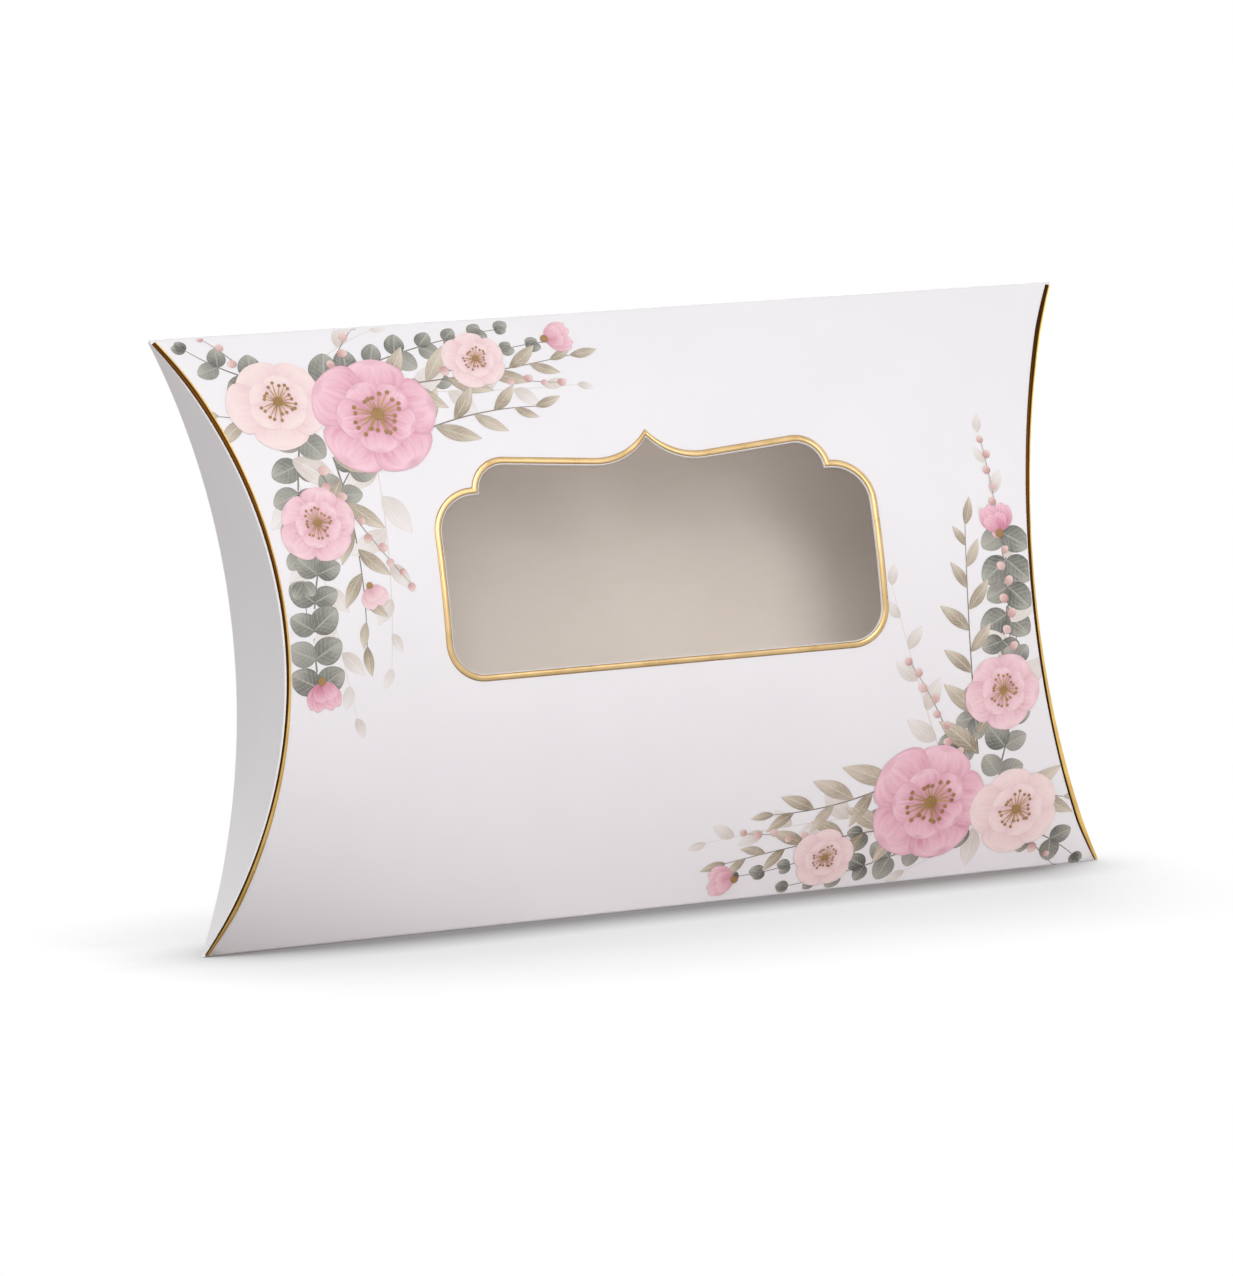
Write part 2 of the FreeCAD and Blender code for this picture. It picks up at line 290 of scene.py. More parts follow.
# %% The five arcs of the section
FULL_TURN = 2 * math.pi
FOLD_STEPS = 12
BOW_STEPS = 72
LOWER_BACK = math.atan2(-LOWER_FOLD_DROP, LOWER_FOLD_Y + BOW_OFFSET)
LOWER_FRONT = math.atan2(-LOWER_FOLD_DROP, LOWER_FOLD_Y - BOW_OFFSET)
UPPER_FRONT = -math.pi - BOW_ANGLE
GLUE_FLAP_TOP = LOWER_BACK + GLUE_FLAP_WIDTH / GLUE_FLAP_RADIUS
BACK_EDGE = -math.asin(MID_HEIGHT / BOW_RADIUS)
LOWER_FOLD_Z = MID_HEIGHT - LOWER_FOLD_DROP
SECTION = [
    ("glue_flap", -BOW_OFFSET, MID_HEIGHT, GLUE_FLAP_RADIUS, GLUE_FLAP_TOP, LOWER_BACK, FOLD_STEPS),
    ("lower_fold", LOWER_FOLD_Y, LOWER_FOLD_Z, FOLD_RADIUS, LOWER_BACK, LOWER_FRONT, FOLD_STEPS),
    ("front", BOW_OFFSET, MID_HEIGHT, BOW_RADIUS, LOWER_FRONT, UPPER_FRONT, BOW_STEPS),
    ("top_fold", 0.0, MID_HEIGHT + FOLD_REACH, FOLD_RADIUS, math.pi - BOW_ANGLE, BOW_ANGLE, FOLD_STEPS),
    ("back", -BOW_OFFSET, MID_HEIGHT, BOW_RADIUS, BOW_ANGLE, BACK_EDGE, BOW_STEPS),
]
STARTS = np.cumsum([0.0] + [radius * (start - end) for _, _, _, radius, start, end, _ in SECTION])
FRONT_START = STARTS[2]


def on_sheet(run, depth=0.0):
    """The point (y, z) and outward direction at a distance along the sheet, under its outer face."""
    index = min(max(int(np.searchsorted(STARTS, run, side="right")) - 1, 0), len(SECTION) - 1)
    _, centre_y, centre_z, radius, start, _, _ = SECTION[index]
    angle = start - (run - STARTS[index]) / radius
    out = (math.cos(angle), math.sin(angle))
    return centre_y + (radius - depth) * out[0], centre_z + (radius - depth) * out[1], out


def front_run(height):
    """The distance along the sheet of a height on the front panel."""
    return FRONT_START + BOW_RADIUS * (LOWER_FRONT + math.pi + math.asin((height - MID_HEIGHT) / BOW_RADIUS))


print(f"the sheet is {STARTS[-1] / MM:.1f} mm round, from the glue flap to the back's lower edge")

# %% [markdown]
# ## Outline of the blank
#
# The ends of the sheet follow the creases. The flap takes over a bend's width before the crease, so that
# board runs round the corner as one rounded fold. The window's outline is a plaque: straight sides,
# rounded corners, two small crowns and an ogee peak. Growing it outwards gives the foil border later.

# %% Width of the blank
CREASE_BEND = 0.6 * MM
BEND_SHARE = 0.4
GLUE_FLAP_INSET = 5.8 * MM
FOLD_INSET = 0.31 * MM


def bend_radius(depth):
    """The outer radius of the curved crease, finer towards the tips."""
    return min(CREASE_BEND, BEND_SHARE * depth)


def half_width(name, y):
    """Half the sheet's width at a point of its section."""
    if name == "glue_flap":
        return HALF_LENGTH - GLUE_FLAP_INSET - y
    if name == "front":
        return HALF_LENGTH + y - bend_radius(-y)
    if name == "back":
        return HALF_LENGTH - INNER_FLAP_INSET - y - bend_radius(y)
    return min(HALF_LENGTH + y, HALF_LENGTH - INNER_FLAP_INSET - y) - FOLD_INSET


print(f"the front is {2 * half_width('front', -HALF_DEPTH) / MM:.1f} mm wide at mid-height")

# %% Outline of the window
WINDOW_HALF = 38.5 * MM
SILL = MID_HEIGHT - 8.2 * MM
SHOULDER = MID_HEIGHT + 21.6 * MM
LOWER_CORNER = 5.5 * MM
UPPER_CORNER = 6.3 * MM
CROWN_RADIUS = 4.7 * MM
DIP_RISE = 3.3 * MM
DIP_OFFSET = 9.0 * MM
PEAK_RISE = 4.3 * MM
SWEEP_RADIUS = (DIP_OFFSET**2 + PEAK_RISE**2) / (2 * PEAK_RISE)
CROWN_CENTRE = Vector((26.4 * MM, SHOULDER))
LONG_POINTS, ROUND_POINTS, SIDE_POINTS = 16, 12, 10


def arc_points(centre, radius, start, end, count):
    """Points round a circle, the first and last included."""
    angles = np.linspace(start, end, count)
    return [(centre[0] + radius * math.cos(a), centre[1] + radius * math.sin(a)) for a in angles]


def window_outline(grow):
    """The window as a ring of points (x, z), grown outwards; every size has the same count."""
    half = WINDOW_HALF + grow
    sill = SILL - grow
    corner = LOWER_CORNER + grow
    round_off = UPPER_CORNER + grow
    crown = CROWN_RADIUS + grow
    sweep_centre = Vector((DIP_OFFSET, SHOULDER + DIP_RISE + grow + SWEEP_RADIUS))
    across = sweep_centre - CROWN_CENTRE
    tilt = math.atan2(across.y, across.x) - math.acos((crown + SWEEP_RADIUS) / across.length)
    peak = Vector((0, SHOULDER + DIP_RISE + PEAK_RISE + grow)) - sweep_centre
    peak_tilt = math.atan2(peak.y, peak.x) + FULL_TURN
    side_top = SHOULDER + grow - round_off
    ring = [(x, sill) for x in np.linspace(0, half - corner, LONG_POINTS)[:-1]]
    ring += arc_points((half - corner, sill + corner), corner, -math.pi / 2, 0, ROUND_POINTS)
    ring += [(half, z) for z in np.linspace(sill + corner, side_top, SIDE_POINTS)[1:-1]]
    ring += arc_points((half - round_off, side_top), round_off, 0, math.pi / 2, ROUND_POINTS)
    ring += arc_points(CROWN_CENTRE, crown, math.asin(grow / crown), tilt, LONG_POINTS)
    ring += arc_points(sweep_centre, SWEEP_RADIUS, tilt + math.pi, peak_tilt, LONG_POINTS)
    mirrored = [(-x, z) for x, z in reversed(ring[1:-1])]
    return ring + mirrored


window = window_outline(0.0)
print(len(window), "points round the window,", round(max(z for _, z in window) / MM, 2), "mm to its peak")

# %% [markdown]
# ## Sleeve
#
# A flat blank could be bent with modifiers, but the fold radii are tiny beside the panels. It is cleaner
# to triangulate the blank flat, with the window as a hole, and to place each corner with the section's
# own arcs. The normals come from the arcs as well, so the bowed board shades without facets.

# %% Lay out the flat blank
GRID_STEP = 2.5 * MM
GRID_REACH = 80 * MM
EDGE_MARGIN = 1.2 * MM
WINDOW_MARGIN = 1.0 * MM


def inside_ring(points, ring):
    """Which points lie inside a closed ring."""
    x, y = points[:, 0, None], points[:, 1, None]
    first = np.array(ring)
    second = np.roll(first, -1, axis=0)
    crosses = (first[:, 1] > y) != (second[:, 1] > y)
    rise = np.where(second[:, 1] == first[:, 1], 1e-12, second[:, 1] - first[:, 1])
    reach = first[:, 0] + (y - first[:, 1]) * (second[:, 0] - first[:, 0]) / rise
    return (np.sum(crosses & (x < reach), axis=1) % 2) == 1


rows = []
for index, (name, _, _, _, _, _, count) in enumerate(SECTION):
    steps = np.linspace(STARTS[index], STARTS[index + 1], count + 1)
    ends = steps if name in ("glue_flap", "lower_fold") else steps[1:]
    for run in ends:
        edge_run = min(max(run, STARTS[index] + 1e-9), STARTS[index + 1] - 1e-9)
        rows.append((run, half_width(name, on_sheet(edge_run)[0])))
window_flat = [(x, front_run(z)) for x, z in window]
border = [(width, run) for run, width in rows] + [(-width, run) for run, width in reversed(rows)]
columns = np.arange(-GRID_REACH, GRID_REACH + 0.1 * MM, GRID_STEP)
grid = np.array([(x, run) for run, width in rows for x in columns if abs(x) < width - EDGE_MARGIN])
gaps = np.linalg.norm(grid[:, None] - np.array(window_flat)[None], axis=2).min(axis=1)
grid = grid[(gaps > WINDOW_MARGIN) & ~inside_ring(grid, window_flat)]
print(len(border), "points round the blank,", len(grid), "inside it")

# %% Triangulate the blank and wrap it round the box
def ring_edges(first, count):
    return [(first + i, first + (i + 1) % count) for i in range(count)]


flat = [Vector(corner) / MM for corner in border + window_flat + grid.tolist()]
edges = ring_edges(0, len(border)) + ring_edges(len(border), len(window_flat))
corners, _, triangles, _, _, _ = delaunay_2d_cdt(flat, edges, [], 0, 1e-6)
corners = np.array([tuple(corner) for corner in corners]) * MM
triangles = np.array([triangle for triangle in triangles if len(triangle) == 3])
middles = corners[triangles].mean(axis=1)
triangles = triangles[inside_ring(middles, border) & ~inside_ring(middles, window_flat)]
sides = corners[triangles]
turns = np.cross(sides[:, 1] - sides[:, 0], sides[:, 2] - sides[:, 0])
triangles[turns < 0] = triangles[turns < 0][:, ::-1]

outer = []
inner = []
outward = []
for x, run in corners:
    y, z, out = on_sheet(run)
    outer.append((x, y, z))
    y, z, _ = on_sheet(run, BOARD)
    inner.append((x, y, z))
    outward.append(Vector((0, *out)))
print(len(triangles), "triangles on each face of the board")

# %% Close the board along its cut edges
def make_piece(name, points, faces, finishes):
    """A mesh object at the origin, smooth, with its finishes in order."""
    mesh = bpy.data.meshes.new(name)
    mesh.from_pydata(points, [], faces)
    for finish in finishes:
        mesh.materials.append(finish)
    mesh.shade_smooth()
    piece = bpy.data.objects.new(name, mesh)
    bpy.context.scene.collection.objects.link(piece)
    return piece


count = len(corners)
half_edges = {(int(t[i]), int(t[(i + 1) % 3])) for t in triangles for i in range(3)}
open_edges = [(a, b) for a, b in half_edges if (b, a) not in half_edges]
faces = [tuple(map(int, t)) for t in triangles]
faces += [tuple(count + int(i) for i in reversed(t)) for t in triangles]
faces += [(b, a, count + a, count + b) for a, b in sorted(open_edges)]
sleeve = make_piece("carton_sleeve", outer + inner, faces, BOARD_FINISHES)
normals = []
for face in sleeve.data.polygons:
    if face.index < len(triangles):
        face.material_index = OUTSIDE
        normals += [outward[i] for i in face.vertices]
    elif face.index < 2 * len(triangles):
        face.material_index = INSIDE
        normals += [-outward[i - count] for i in face.vertices]
    else:
        face.material_index = CUT
        normals += [face.normal] * len(face.vertices)
sleeve.data.normals_split_custom_set(normals)
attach(sleeve, "carton")
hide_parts("front_panel", "back_panel", "top_fold", "bottom_fold", "glue_flap")
print("sleeve:", len(sleeve.data.polygons), "faces,", len(open_edges), "of them cut edge")

# %% [markdown]
# ## End flaps
#
# Each end has a full outer flap on the front's crease and a shorter inner flap on the back's crease. A
# flap is the board going on round a rounded bend, so its mesh starts on the panel, turns the corner and
# runs across the hollow end. The real flap opens by bending along the crease. That bend squeezes the board
# until its faces cross, so both faces of a flap have the white finish.

# %% Points of one flap
BEND_STEPS = 8
FLAP_STEPS = 26
BEND_TURNS = np.linspace(0, math.pi / 2, BEND_STEPS + 1)
TIP_MARGIN = 0.05 * MM
THICK_SHARE = 0.8


def lens_reach(reach, height):
    """How far a flap's free edge stands from the middle plane, on an arc between the tips."""
    radius = (HALF_HEIGHT**2 + reach**2) / (2 * reach)
    return math.sqrt(radius**2 - height**2) - (radius - reach)


def flap_rows(side, inset, reach, angles):
    """Outer points and outward directions of a left-hand flap, row by row up the crease."""
    for angle in angles:
        depth = BOW_RADIUS * math.cos(angle) - BOW_OFFSET
        rise = BOW_RADIUS * math.sin(angle)
        radius = bend_radius(depth)
        x = depth + inset - HALF_LENGTH
        far = lens_reach(reach, min(abs(rise), HALF_HEIGHT - TIP_MARGIN))
        panel = Vector((0, side * math.cos(angle), math.sin(angle)))
        end = Vector((-math.cos(angle), 0, -math.sin(angle)))
        row = []
        for turn in BEND_TURNS:
            place = (x + radius * (1 - math.sin(turn)), side * (depth - radius * (1 - math.cos(turn))))
            row.append((place, (panel * math.cos(turn) + end * math.sin(turn)).normalized()))
        for y in np.linspace(side * (depth - radius), -side * far, FLAP_STEPS + 1)[1:]:
            row.append(((x, y), end))
        thick = min(BOARD, THICK_SHARE * radius)
        yield [(Vector((*place, MID_HEIGHT + rise)), out, thick) for place, out in row]


print("a flap has", BEND_STEPS, "steps round its bend and", FLAP_STEPS, "across its end")

# %% Mesh of one flap
SHARP_BOARD = 40


def face_outwards(mesh, sharp_angle):
    """Turn a closed mesh's faces outwards, and keep its sharp edges crisp."""
    solid = bmesh.new()
    solid.from_mesh(mesh)
    bmesh.ops.recalc_face_normals(solid, faces=solid.faces)
    solid.to_mesh(mesh)
    solid.free()
    mesh.set_sharp_from_angle(angle=math.radians(sharp_angle))


def store(mesh, name, values):
    """Keep a number for each point of a mesh."""
    mesh.attributes.new(name, "FLOAT", "POINT").data.foreach_set("value", values)


def rim_of(height, across):
    """The indices round the border of a grid of points."""
    last = height - 1
    rim = list(range(across))
    rim += [i * across + across - 1 for i in range(1, last + 1)]
    rim += [last * across + j for j in range(across - 2, -1, -1)]
    rim += [i * across for i in range(last - 1, 0, -1)]
    return rim


def flap_piece(name, end, side, inset, reach, angles):
    """A closed flap of board at one end of the box."""
    grid_rows = list(flap_rows(side, inset, reach, angles))
    across = len(grid_rows[0])
    flip = Vector((-end, 1, 1))
    points = [spot * flip for row in grid_rows for spot, _, _ in row]
    points += [(spot - out * thick) * flip for row in grid_rows for spot, out, thick in row]
    points = [(x, y, max(z, 0.0)) for x, y, z in points]
    back = len(points) // 2
    faces = []
    for i in range(len(grid_rows) - 1):
        for j in range(across - 1):
            quad = (i * across + j, i * across + j + 1, (i + 1) * across + j + 1, (i + 1) * across + j)
            faces += [quad, tuple(back + k for k in reversed(quad))]
    kinds = [OUTSIDE] * len(faces)
    rim = rim_of(len(grid_rows), across)
    faces += [(b, a, back + a, back + b) for a, b in zip(rim, rim[1:] + rim[:1])]
    kinds += [CUT] * len(rim)
    piece = make_piece(name, points, faces, BOARD_FINISHES)
    piece.data.polygons.foreach_set("material_index", kinds)
    face_outwards(piece.data, SHARP_BOARD)
    # Painted highlight: the bend rows get a "fold" share that lightens them, strongest half way round the
    # bend.
    bend = [math.sin(2 * turn) ** 2 for turn in BEND_TURNS]
    store(piece.data, "fold", (bend + [0.0] * FLAP_STEPS) * len(grid_rows) + [0.0] * back)
    return piece


# %% Outer and inner flaps at both ends
FRONT, BACK, LEFT, RIGHT = -1, 1, -1, 1
OUTER_REACH = 14.7 * MM
INNER_REACH = 3.0 * MM
front_angles = -math.pi - np.linspace(LOWER_FRONT, UPPER_FRONT, BOW_STEPS + 1)
back_angles = np.linspace(BACK_EDGE, BOW_ANGLE, BOW_STEPS + 1)


def hinge_flap(piece, body, end, side):
    """Bake a flap's place into its mesh, hide the solid that it stands for, and say how many faces it has.
    """
    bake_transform(piece)
    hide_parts(body)
    print(piece.name, "has", len(piece.data.polygons), "faces")


for end, word in ((LEFT, "left"), (RIGHT, "right")):
    outer_board = flap_piece(f"{word}_outer_end", end, FRONT, 0.0, OUTER_REACH, front_angles)
    hinge_flap(outer_board, f"{word}_outer_flap", end, FRONT)
    inner_board = flap_piece(f"{word}_inner_end", end, BACK, INNER_FLAP_INSET, INNER_REACH, back_angles)
    hinge_flap(inner_board, f"{word}_inner_flap", end, BACK)

# %% [markdown]
# ## Gold foil
#
# Hot-stamped foil on an embossed line is a metal skin over a low crown. The crown is real geometry, and each
# mesh carries how far a point lies across the line. The finishes paint shade from it: browner towards the
# edges of a line, and on the crease lines a painted brown shade on the left side that covers more of the
# width higher up.

# %% Finishes of the foil
def metal_finish(name, tones, gloss):
    """Metal foil in two tones, with its colour left open, and the parts that the colour needs."""
    material, tree, shader = new_finish(name, Metallic=1.0)
    cloud = grain(tree, 260, 3)
    feed(shader, Roughness=cloud.stretch(*gloss), Normal=grain(tree, 1800, 2).bump(0.2, 0.00002))
    return material, shader, attribute(tree, "across"), cloud.stretch().tint(*tones)


def flat_foil_finish(name, low, high, rim):
    """Foil on a flat line, with painted shade that darkens it towards both of its edges."""
    material, shader, across, bright = metal_finish(name, (low, high), (0.24, 0.36))
    # Painted shade: the colour turns brown over the outer part of the line's width on both sides.
    feed(shader, Base_Color=abs(across).spread(0.7, 1.0).tint(bright, rim))
    return material


def shaded_crease_foil_finish(name, low, high, brown):
    """Foil along a crease, with painted shade: brown on its left side, over more of its width higher up."""
    material, shader, across, bright = metal_finish(name, (low, high), (0.2, 0.32))
    place = give(across.tree, "ShaderNodeTexCoord", output="Object")
    height = give(across.tree, "ShaderNodeSeparateXYZ", {0: place}, "Z")
    # Painted shade and reflection: brown on the left side of the line, reaching further across it higher up
    # the box.
    past = across + height.spread(20 * MM, 62 * MM, 0.3, -0.5)
    feed(shader, Base_Color=past.spread(-0.3, 0.0).tint(brown, bright))
    return material


FOIL_EDGE_SHADE = (0.24, 0.135, 0.045)
PAINTED_SHADE_BROWN = (0.05, 0.018, 0.003)
gold_foil = flat_foil_finish("gold_foil", (0.55, 0.37, 0.165), (0.68, 0.48, 0.25), FOIL_EDGE_SHADE)
shaded_crease_foil = shaded_crease_foil_finish("rolled_gold_foil", (0.68, 0.42, 0.125), (0.84, 0.57, 0.19), PAINTED_SHADE_BROWN)
print("foil finishes:", gold_foil.name, shaded_crease_foil.name)

# %% [markdown]
# ## Border round the window
#
# The border is swept between two grown copies of the window's outline. Rows of points from the inner to
# the outer outline are lifted to a crown, and the last row joins the first under the foil, which closes
# the ring. The cusps and the peak stay sharp, because every row is an exact offset.

# %% Sweep the window border
BORDER_GAP = 0.12 * MM
BORDER_WIDTH = 1.08 * MM
BORDER_ROWS = 11
FOIL_CROWN = 0.26 * MM
FOIL_LIFT = 0.02 * MM
SHARP_FOIL = 50


def lifted(x, z, lift):
    """A point above the front panel at a given place seen from the front."""
    angle = math.asin((z - MID_HEIGHT) / BOW_RADIUS)
    out = Vector((0, -math.cos(angle), math.sin(angle)))
    return Vector((x, BOW_OFFSET, MID_HEIGHT)) + out * (BOW_RADIUS + lift)


def crown_height(across):
    """The height of the foil's crown, from edge at -1 to edge at 1."""
    return FOIL_LIFT + FOIL_CROWN * (1 - abs(across) ** 3.2)


size = len(window)
points = []
shares = []
for across in np.linspace(-1, 1, BORDER_ROWS):
    ring = window_outline(BORDER_GAP + BORDER_WIDTH * (across + 1) / 2)
    points += [lifted(x, z, crown_height(across)) for x, z in ring]
    shares += [across] * size
faces = []
for row in range(BORDER_ROWS):
    next_row = (row + 1) % BORDER_ROWS
    for i in range(size):
        j = (i + 1) % size
        faces.append((row * size + i, row * size + j, next_row * size + j, next_row * size + i))
border_piece = make_piece("window_border", points, faces, [gold_foil])
store(border_piece.data, "across", shares)
face_outwards(border_piece.data, SHARP_FOIL)
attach(border_piece, "carton")
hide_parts("window_foil_border")
print("window border:", len(faces), "faces")

# %% [markdown]
# ## Drawing on the flat, then wrapping
#
# Foil lines and print are laid out flat, as on the printer's sheet: u along the box, v up the panel from
# its middle, and a small height above the board. One node group bends that flat layout onto the bowed
# front. It also trims at the creases and the long folds, as the die does with artwork that bleeds off the
# panel.

# %% Helpers for Geometry Nodes
def new_tree(name, sizes):
    """An empty tree with a geometry input and named inputs; an input without a number takes a material."""
    tree = bpy.data.node_groups.new(name, "GeometryNodeTree")
    tree.interface.new_socket("Geometry", in_out="OUTPUT", socket_type="NodeSocketGeometry")
    tree.interface.new_socket("Geometry", in_out="INPUT", socket_type="NodeSocketGeometry")
    kinds = {float: "NodeSocketFloat", int: "NodeSocketInt"}
    for label, value in sizes.items():
        kind = kinds.get(type(value), "NodeSocketMaterial")
        socket = tree.interface.new_socket(label, in_out="INPUT", socket_type=kind)
        if value is not None:
            socket.default_value = value
    given = {socket.name: Value(tree, socket) for socket in tree.nodes.new("NodeGroupInput").outputs}
    return tree, given


def deliver(geometry):
    """Make a geometry the result of its tree."""
    out = geometry.tree.nodes.new("NodeGroupOutput")
    geometry.tree.links.new(geometry.socket, out.inputs["Geometry"])
    print(geometry.tree.name, "has", len(geometry.tree.nodes), "nodes")


def split(tree, kind):
    """The three coordinates of a vector that a node gives."""
    parts = put(tree, "ShaderNodeSeparateXYZ", {0: give(tree, kind)}).outputs
    return [Value(tree, part) for part in parts]


def point(tree, x=0.0, y=0.0, z=0.0):
    """A vector from three coordinates."""
    return give(tree, "ShaderNodeCombineXYZ", {0: x, 1: y, 2: z})


def moved(geometry, **change):
    """Geometry whose points get a new Position or an Offset."""
    return give(geometry.tree, "GeometryNodeSetPosition", {"Geometry": geometry, **change})


def named(geometry, name, value, domain="POINT"):
    """Geometry whose points or instances each carry a number."""
    inputs = {"Geometry": geometry, "Name": name, "Value": value}
    return give(geometry.tree, "GeometryNodeStoreNamedAttribute", inputs, domain=domain)


def realised(geometry, finish):
    """Real faces in a given finish."""
    real = give(geometry.tree, "GeometryNodeRealizeInstances", {"Geometry": geometry})
    return give(geometry.tree, "GeometryNodeSetMaterial", {"Geometry": real, "Material": finish})


# %% Node group that wraps a flat layout onto the front
def build_wrap():
    tree, given = new_tree("wrap_on_front", {"Trim": 1.0 * MM, "Bow Radius": BOW_RADIUS})
    radius = given["Bow Radius"]
    u, v, height = split(tree, "GeometryNodeInputPosition")
    highest = BOW_RADIUS * BOW_ANGLE
    angle = v.at_most(highest).at_least(-highest) / radius
    cosine = angle.math("COSINE")
    depth = radius * cosine - BOW_OFFSET
    limit = HALF_LENGTH - (depth + given["Trim"])
    x = u.at_most(limit).at_least(limit * -1.0)
    raised_radius = radius + height
    y = BOW_OFFSET - raised_radius * cosine
    z = (raised_radius * angle.math("SINE") + MID_HEIGHT).at_least(0.0)
    deliver(moved(given["Geometry"], Position=point(tree, x, y, z)))
    return tree


wrap_on_front = build_wrap()


def wrapped(geometry, trim):
    """Flat geometry bent onto the front by the wrapping group."""
    inputs = {"Geometry": geometry, "Trim": trim}
    return give(geometry.tree, "GeometryNodeGroup", inputs, node_tree=wrap_on_front)


# %% [markdown]
# ## Foil lines along the curved creases
#
# The foil follows the crease, so a sweep makes it: the crease is a flat curve, a half-round profile runs
# along it, and the wrapping group bends the result. The profile stores how far across the line each point
# is.

# %% Node tree for a foil line
def build_foil_line():
    tree, given = new_tree("foil_line", {"Width": 1.1 * MM, "Crown": FOIL_CROWN, "Foil": None})
    circle = give(tree, "GeometryNodeCurvePrimitiveCircle", {"Resolution": 20, "Radius": 1.0})
    across, up, _ = split(tree, "GeometryNodeInputPosition")
    dome = up.at_least(0.0) * given["Crown"]
    shape = point(tree, across * (given["Width"] * 0.5), -FOIL_LIFT - dome)
    profile = moved(named(circle, "across", across), Position=shape)
    upright = give(tree, "GeometryNodeSetCurveNormal", {"Curve": given["Geometry"]}, mode="Z_UP")
    width = give(tree, "GeometryNodeInputNamedAttribute", {"Name": "radius"}, data_type="FLOAT")
    sweep = {"Curve": upright, "Profile Curve": profile, "Scale": width, "Fill Caps": True}
    swept = give(tree, "GeometryNodeCurveToMesh", sweep)
    deliver(wrapped(realised(swept, given["Foil"]), 0.0))
    return tree


foil_line = build_foil_line()

# %% Run a tree and keep its result as a plain mesh
MERGE_GAP = 2e-7
TINY_EDGE = 1e-7


def grow_piece(name, source, tree, **values):
    """Evaluate a tree on a source object, with inputs set by identifier, and return a plain mesh object."""
    bpy.context.scene.collection.objects.link(source)
    modifier = source.modifiers.new(name, "NODES")
    modifier.node_group = tree
    for item in tree.interface.items_tree:
        label = item.name.replace(" ", "_").lower()
        if item.in_out == "INPUT" and label in values:
            modifier[item.identifier] = values[label]
    graph = bpy.context.evaluated_depsgraph_get()
    mesh = bpy.data.meshes.new_from_object(source.evaluated_get(graph), depsgraph=graph)
    mesh.name = name
    bpy.data.objects.remove(source)
    clean = bmesh.new()
    clean.from_mesh(mesh)
    bmesh.ops.remove_doubles(clean, verts=clean.verts, dist=MERGE_GAP)
    bmesh.ops.dissolve_degenerate(clean, edges=clean.edges, dist=TINY_EDGE)
    clean.to_mesh(mesh)
    clean.free()
    for slot in reversed(range(len(mesh.materials))):
        if mesh.materials[slot] is None:
            mesh.materials.pop(index=slot)
    mesh.shade_smooth()
    piece = bpy.data.objects.new(name, mesh)
    bpy.context.scene.collection.objects.link(piece)
    print(name, "has", len(mesh.polygons), "faces and finishes", [m.name for m in mesh.materials])
    return piece


def flat_curves(name, paths, widths=None):
    """A curve object on the flat layout, one poly spline for each path of (u, v), with widths if given."""
    data = bpy.data.curves.new(name, "CURVE")
    data.dimensions = "3D"
    for path in paths:
        spline = data.splines.new("POLY")
        spline.points.add(len(path) - 1)
        spline.points.foreach_set("co", [c for u, v in path for c in (u, v, 0.0, 1.0)])
        spline.points.foreach_set("radius", widths or [1.0] * len(path))
    return bpy.data.objects.new(name, data)


# %% Foil along both creases of the front
FOIL_SETBACK = 0.25 * MM
FOIL_WIDTH = 1.15 * MM
TIP_DEPTH = 5.0 * MM
LOWER_TIP, UPPER_TIP, WAIST = 0.45, 0.75, 0.32
LOWER_STOP, UPPER_STOP = 0.006, 0.003
LINE_POINTS = 120


def crease_line(end):
    """The foil's middle line on the flat sheet and its widths: slim at the tips and at the waist."""
    path = []
    widths = []
    for angle in np.linspace(-BOW_ANGLE + LOWER_STOP, BOW_ANGLE - UPPER_STOP, LINE_POINTS):
        depth = BOW_RADIUS * math.cos(angle) - BOW_OFFSET
        share = min(1.0, depth / TIP_DEPTH)
        tip = LOWER_TIP if angle < 0 else UPPER_TIP
        width = tip * (1 - share) + share * (1 - WAIST * (depth / HALF_DEPTH) ** 2)
        inset = FOIL_SETBACK * share + 0.5 * FOIL_WIDTH * width
        path.append((end * (HALF_LENGTH - depth - inset), BOW_RADIUS * angle))
        widths.append(width)
    return flat_curves("crease_path", [path], widths)


for end, word in ((LEFT, "left"), (RIGHT, "right")):
    foil = grow_piece(f"{word}_crease_line", crease_line(end), foil_line, width=FOIL_WIDTH, foil=shaded_crease_foil)
    foil.data.set_sharp_from_angle(angle=math.radians(SHARP_FOIL))
    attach(foil, "carton")
    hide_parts(f"{word}_crease_foil")

# %% [markdown]
# ## Film and glue
#
# A clear film closes the window from inside, held by a ring of dried glue, and a line of the same glue
# closes the seam low on the back. The solids already have the right shape, so they only get finishes.

# %% Finishes of the film and the glue
FILM_TONES = (0.92, 0.93, 0.93), (0.97, 0.97, 0.96)
GLUE_TONES = (0.78, 0.72, 0.60), (0.88, 0.84, 0.76)
FILM_ALPHA = 0.03


def plain_finish(name, scale, detail, tones, gloss, relief, **constants):
    """A finish in two tones of one grain, which also drives its gloss and its relief."""
    material, tree, shader = new_finish(name, **constants)
    noise = grain(tree, scale, detail)
    feed(shader, Base_Color=noise.tint(*tones))
    feed(shader, Roughness=noise.stretch(*gloss), Normal=noise.bump(*relief))
    return material


film = plain_finish("clear_window_film", 120, 2, FILM_TONES, (0.06, 0.12), (0.1, 0.0001), Alpha=FILM_ALPHA)
glue = plain_finish("dried_glue", 500, 3, GLUE_TONES, (0.3, 0.5), (0.4, 0.00005))
for node, finish in (("window_film", film), ("film_adhesive", glue), ("seam_adhesive", glue)):
    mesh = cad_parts[node].data
    mesh.materials.clear()
    mesh.materials.append(finish)
    print(node, "wears", finish.name)

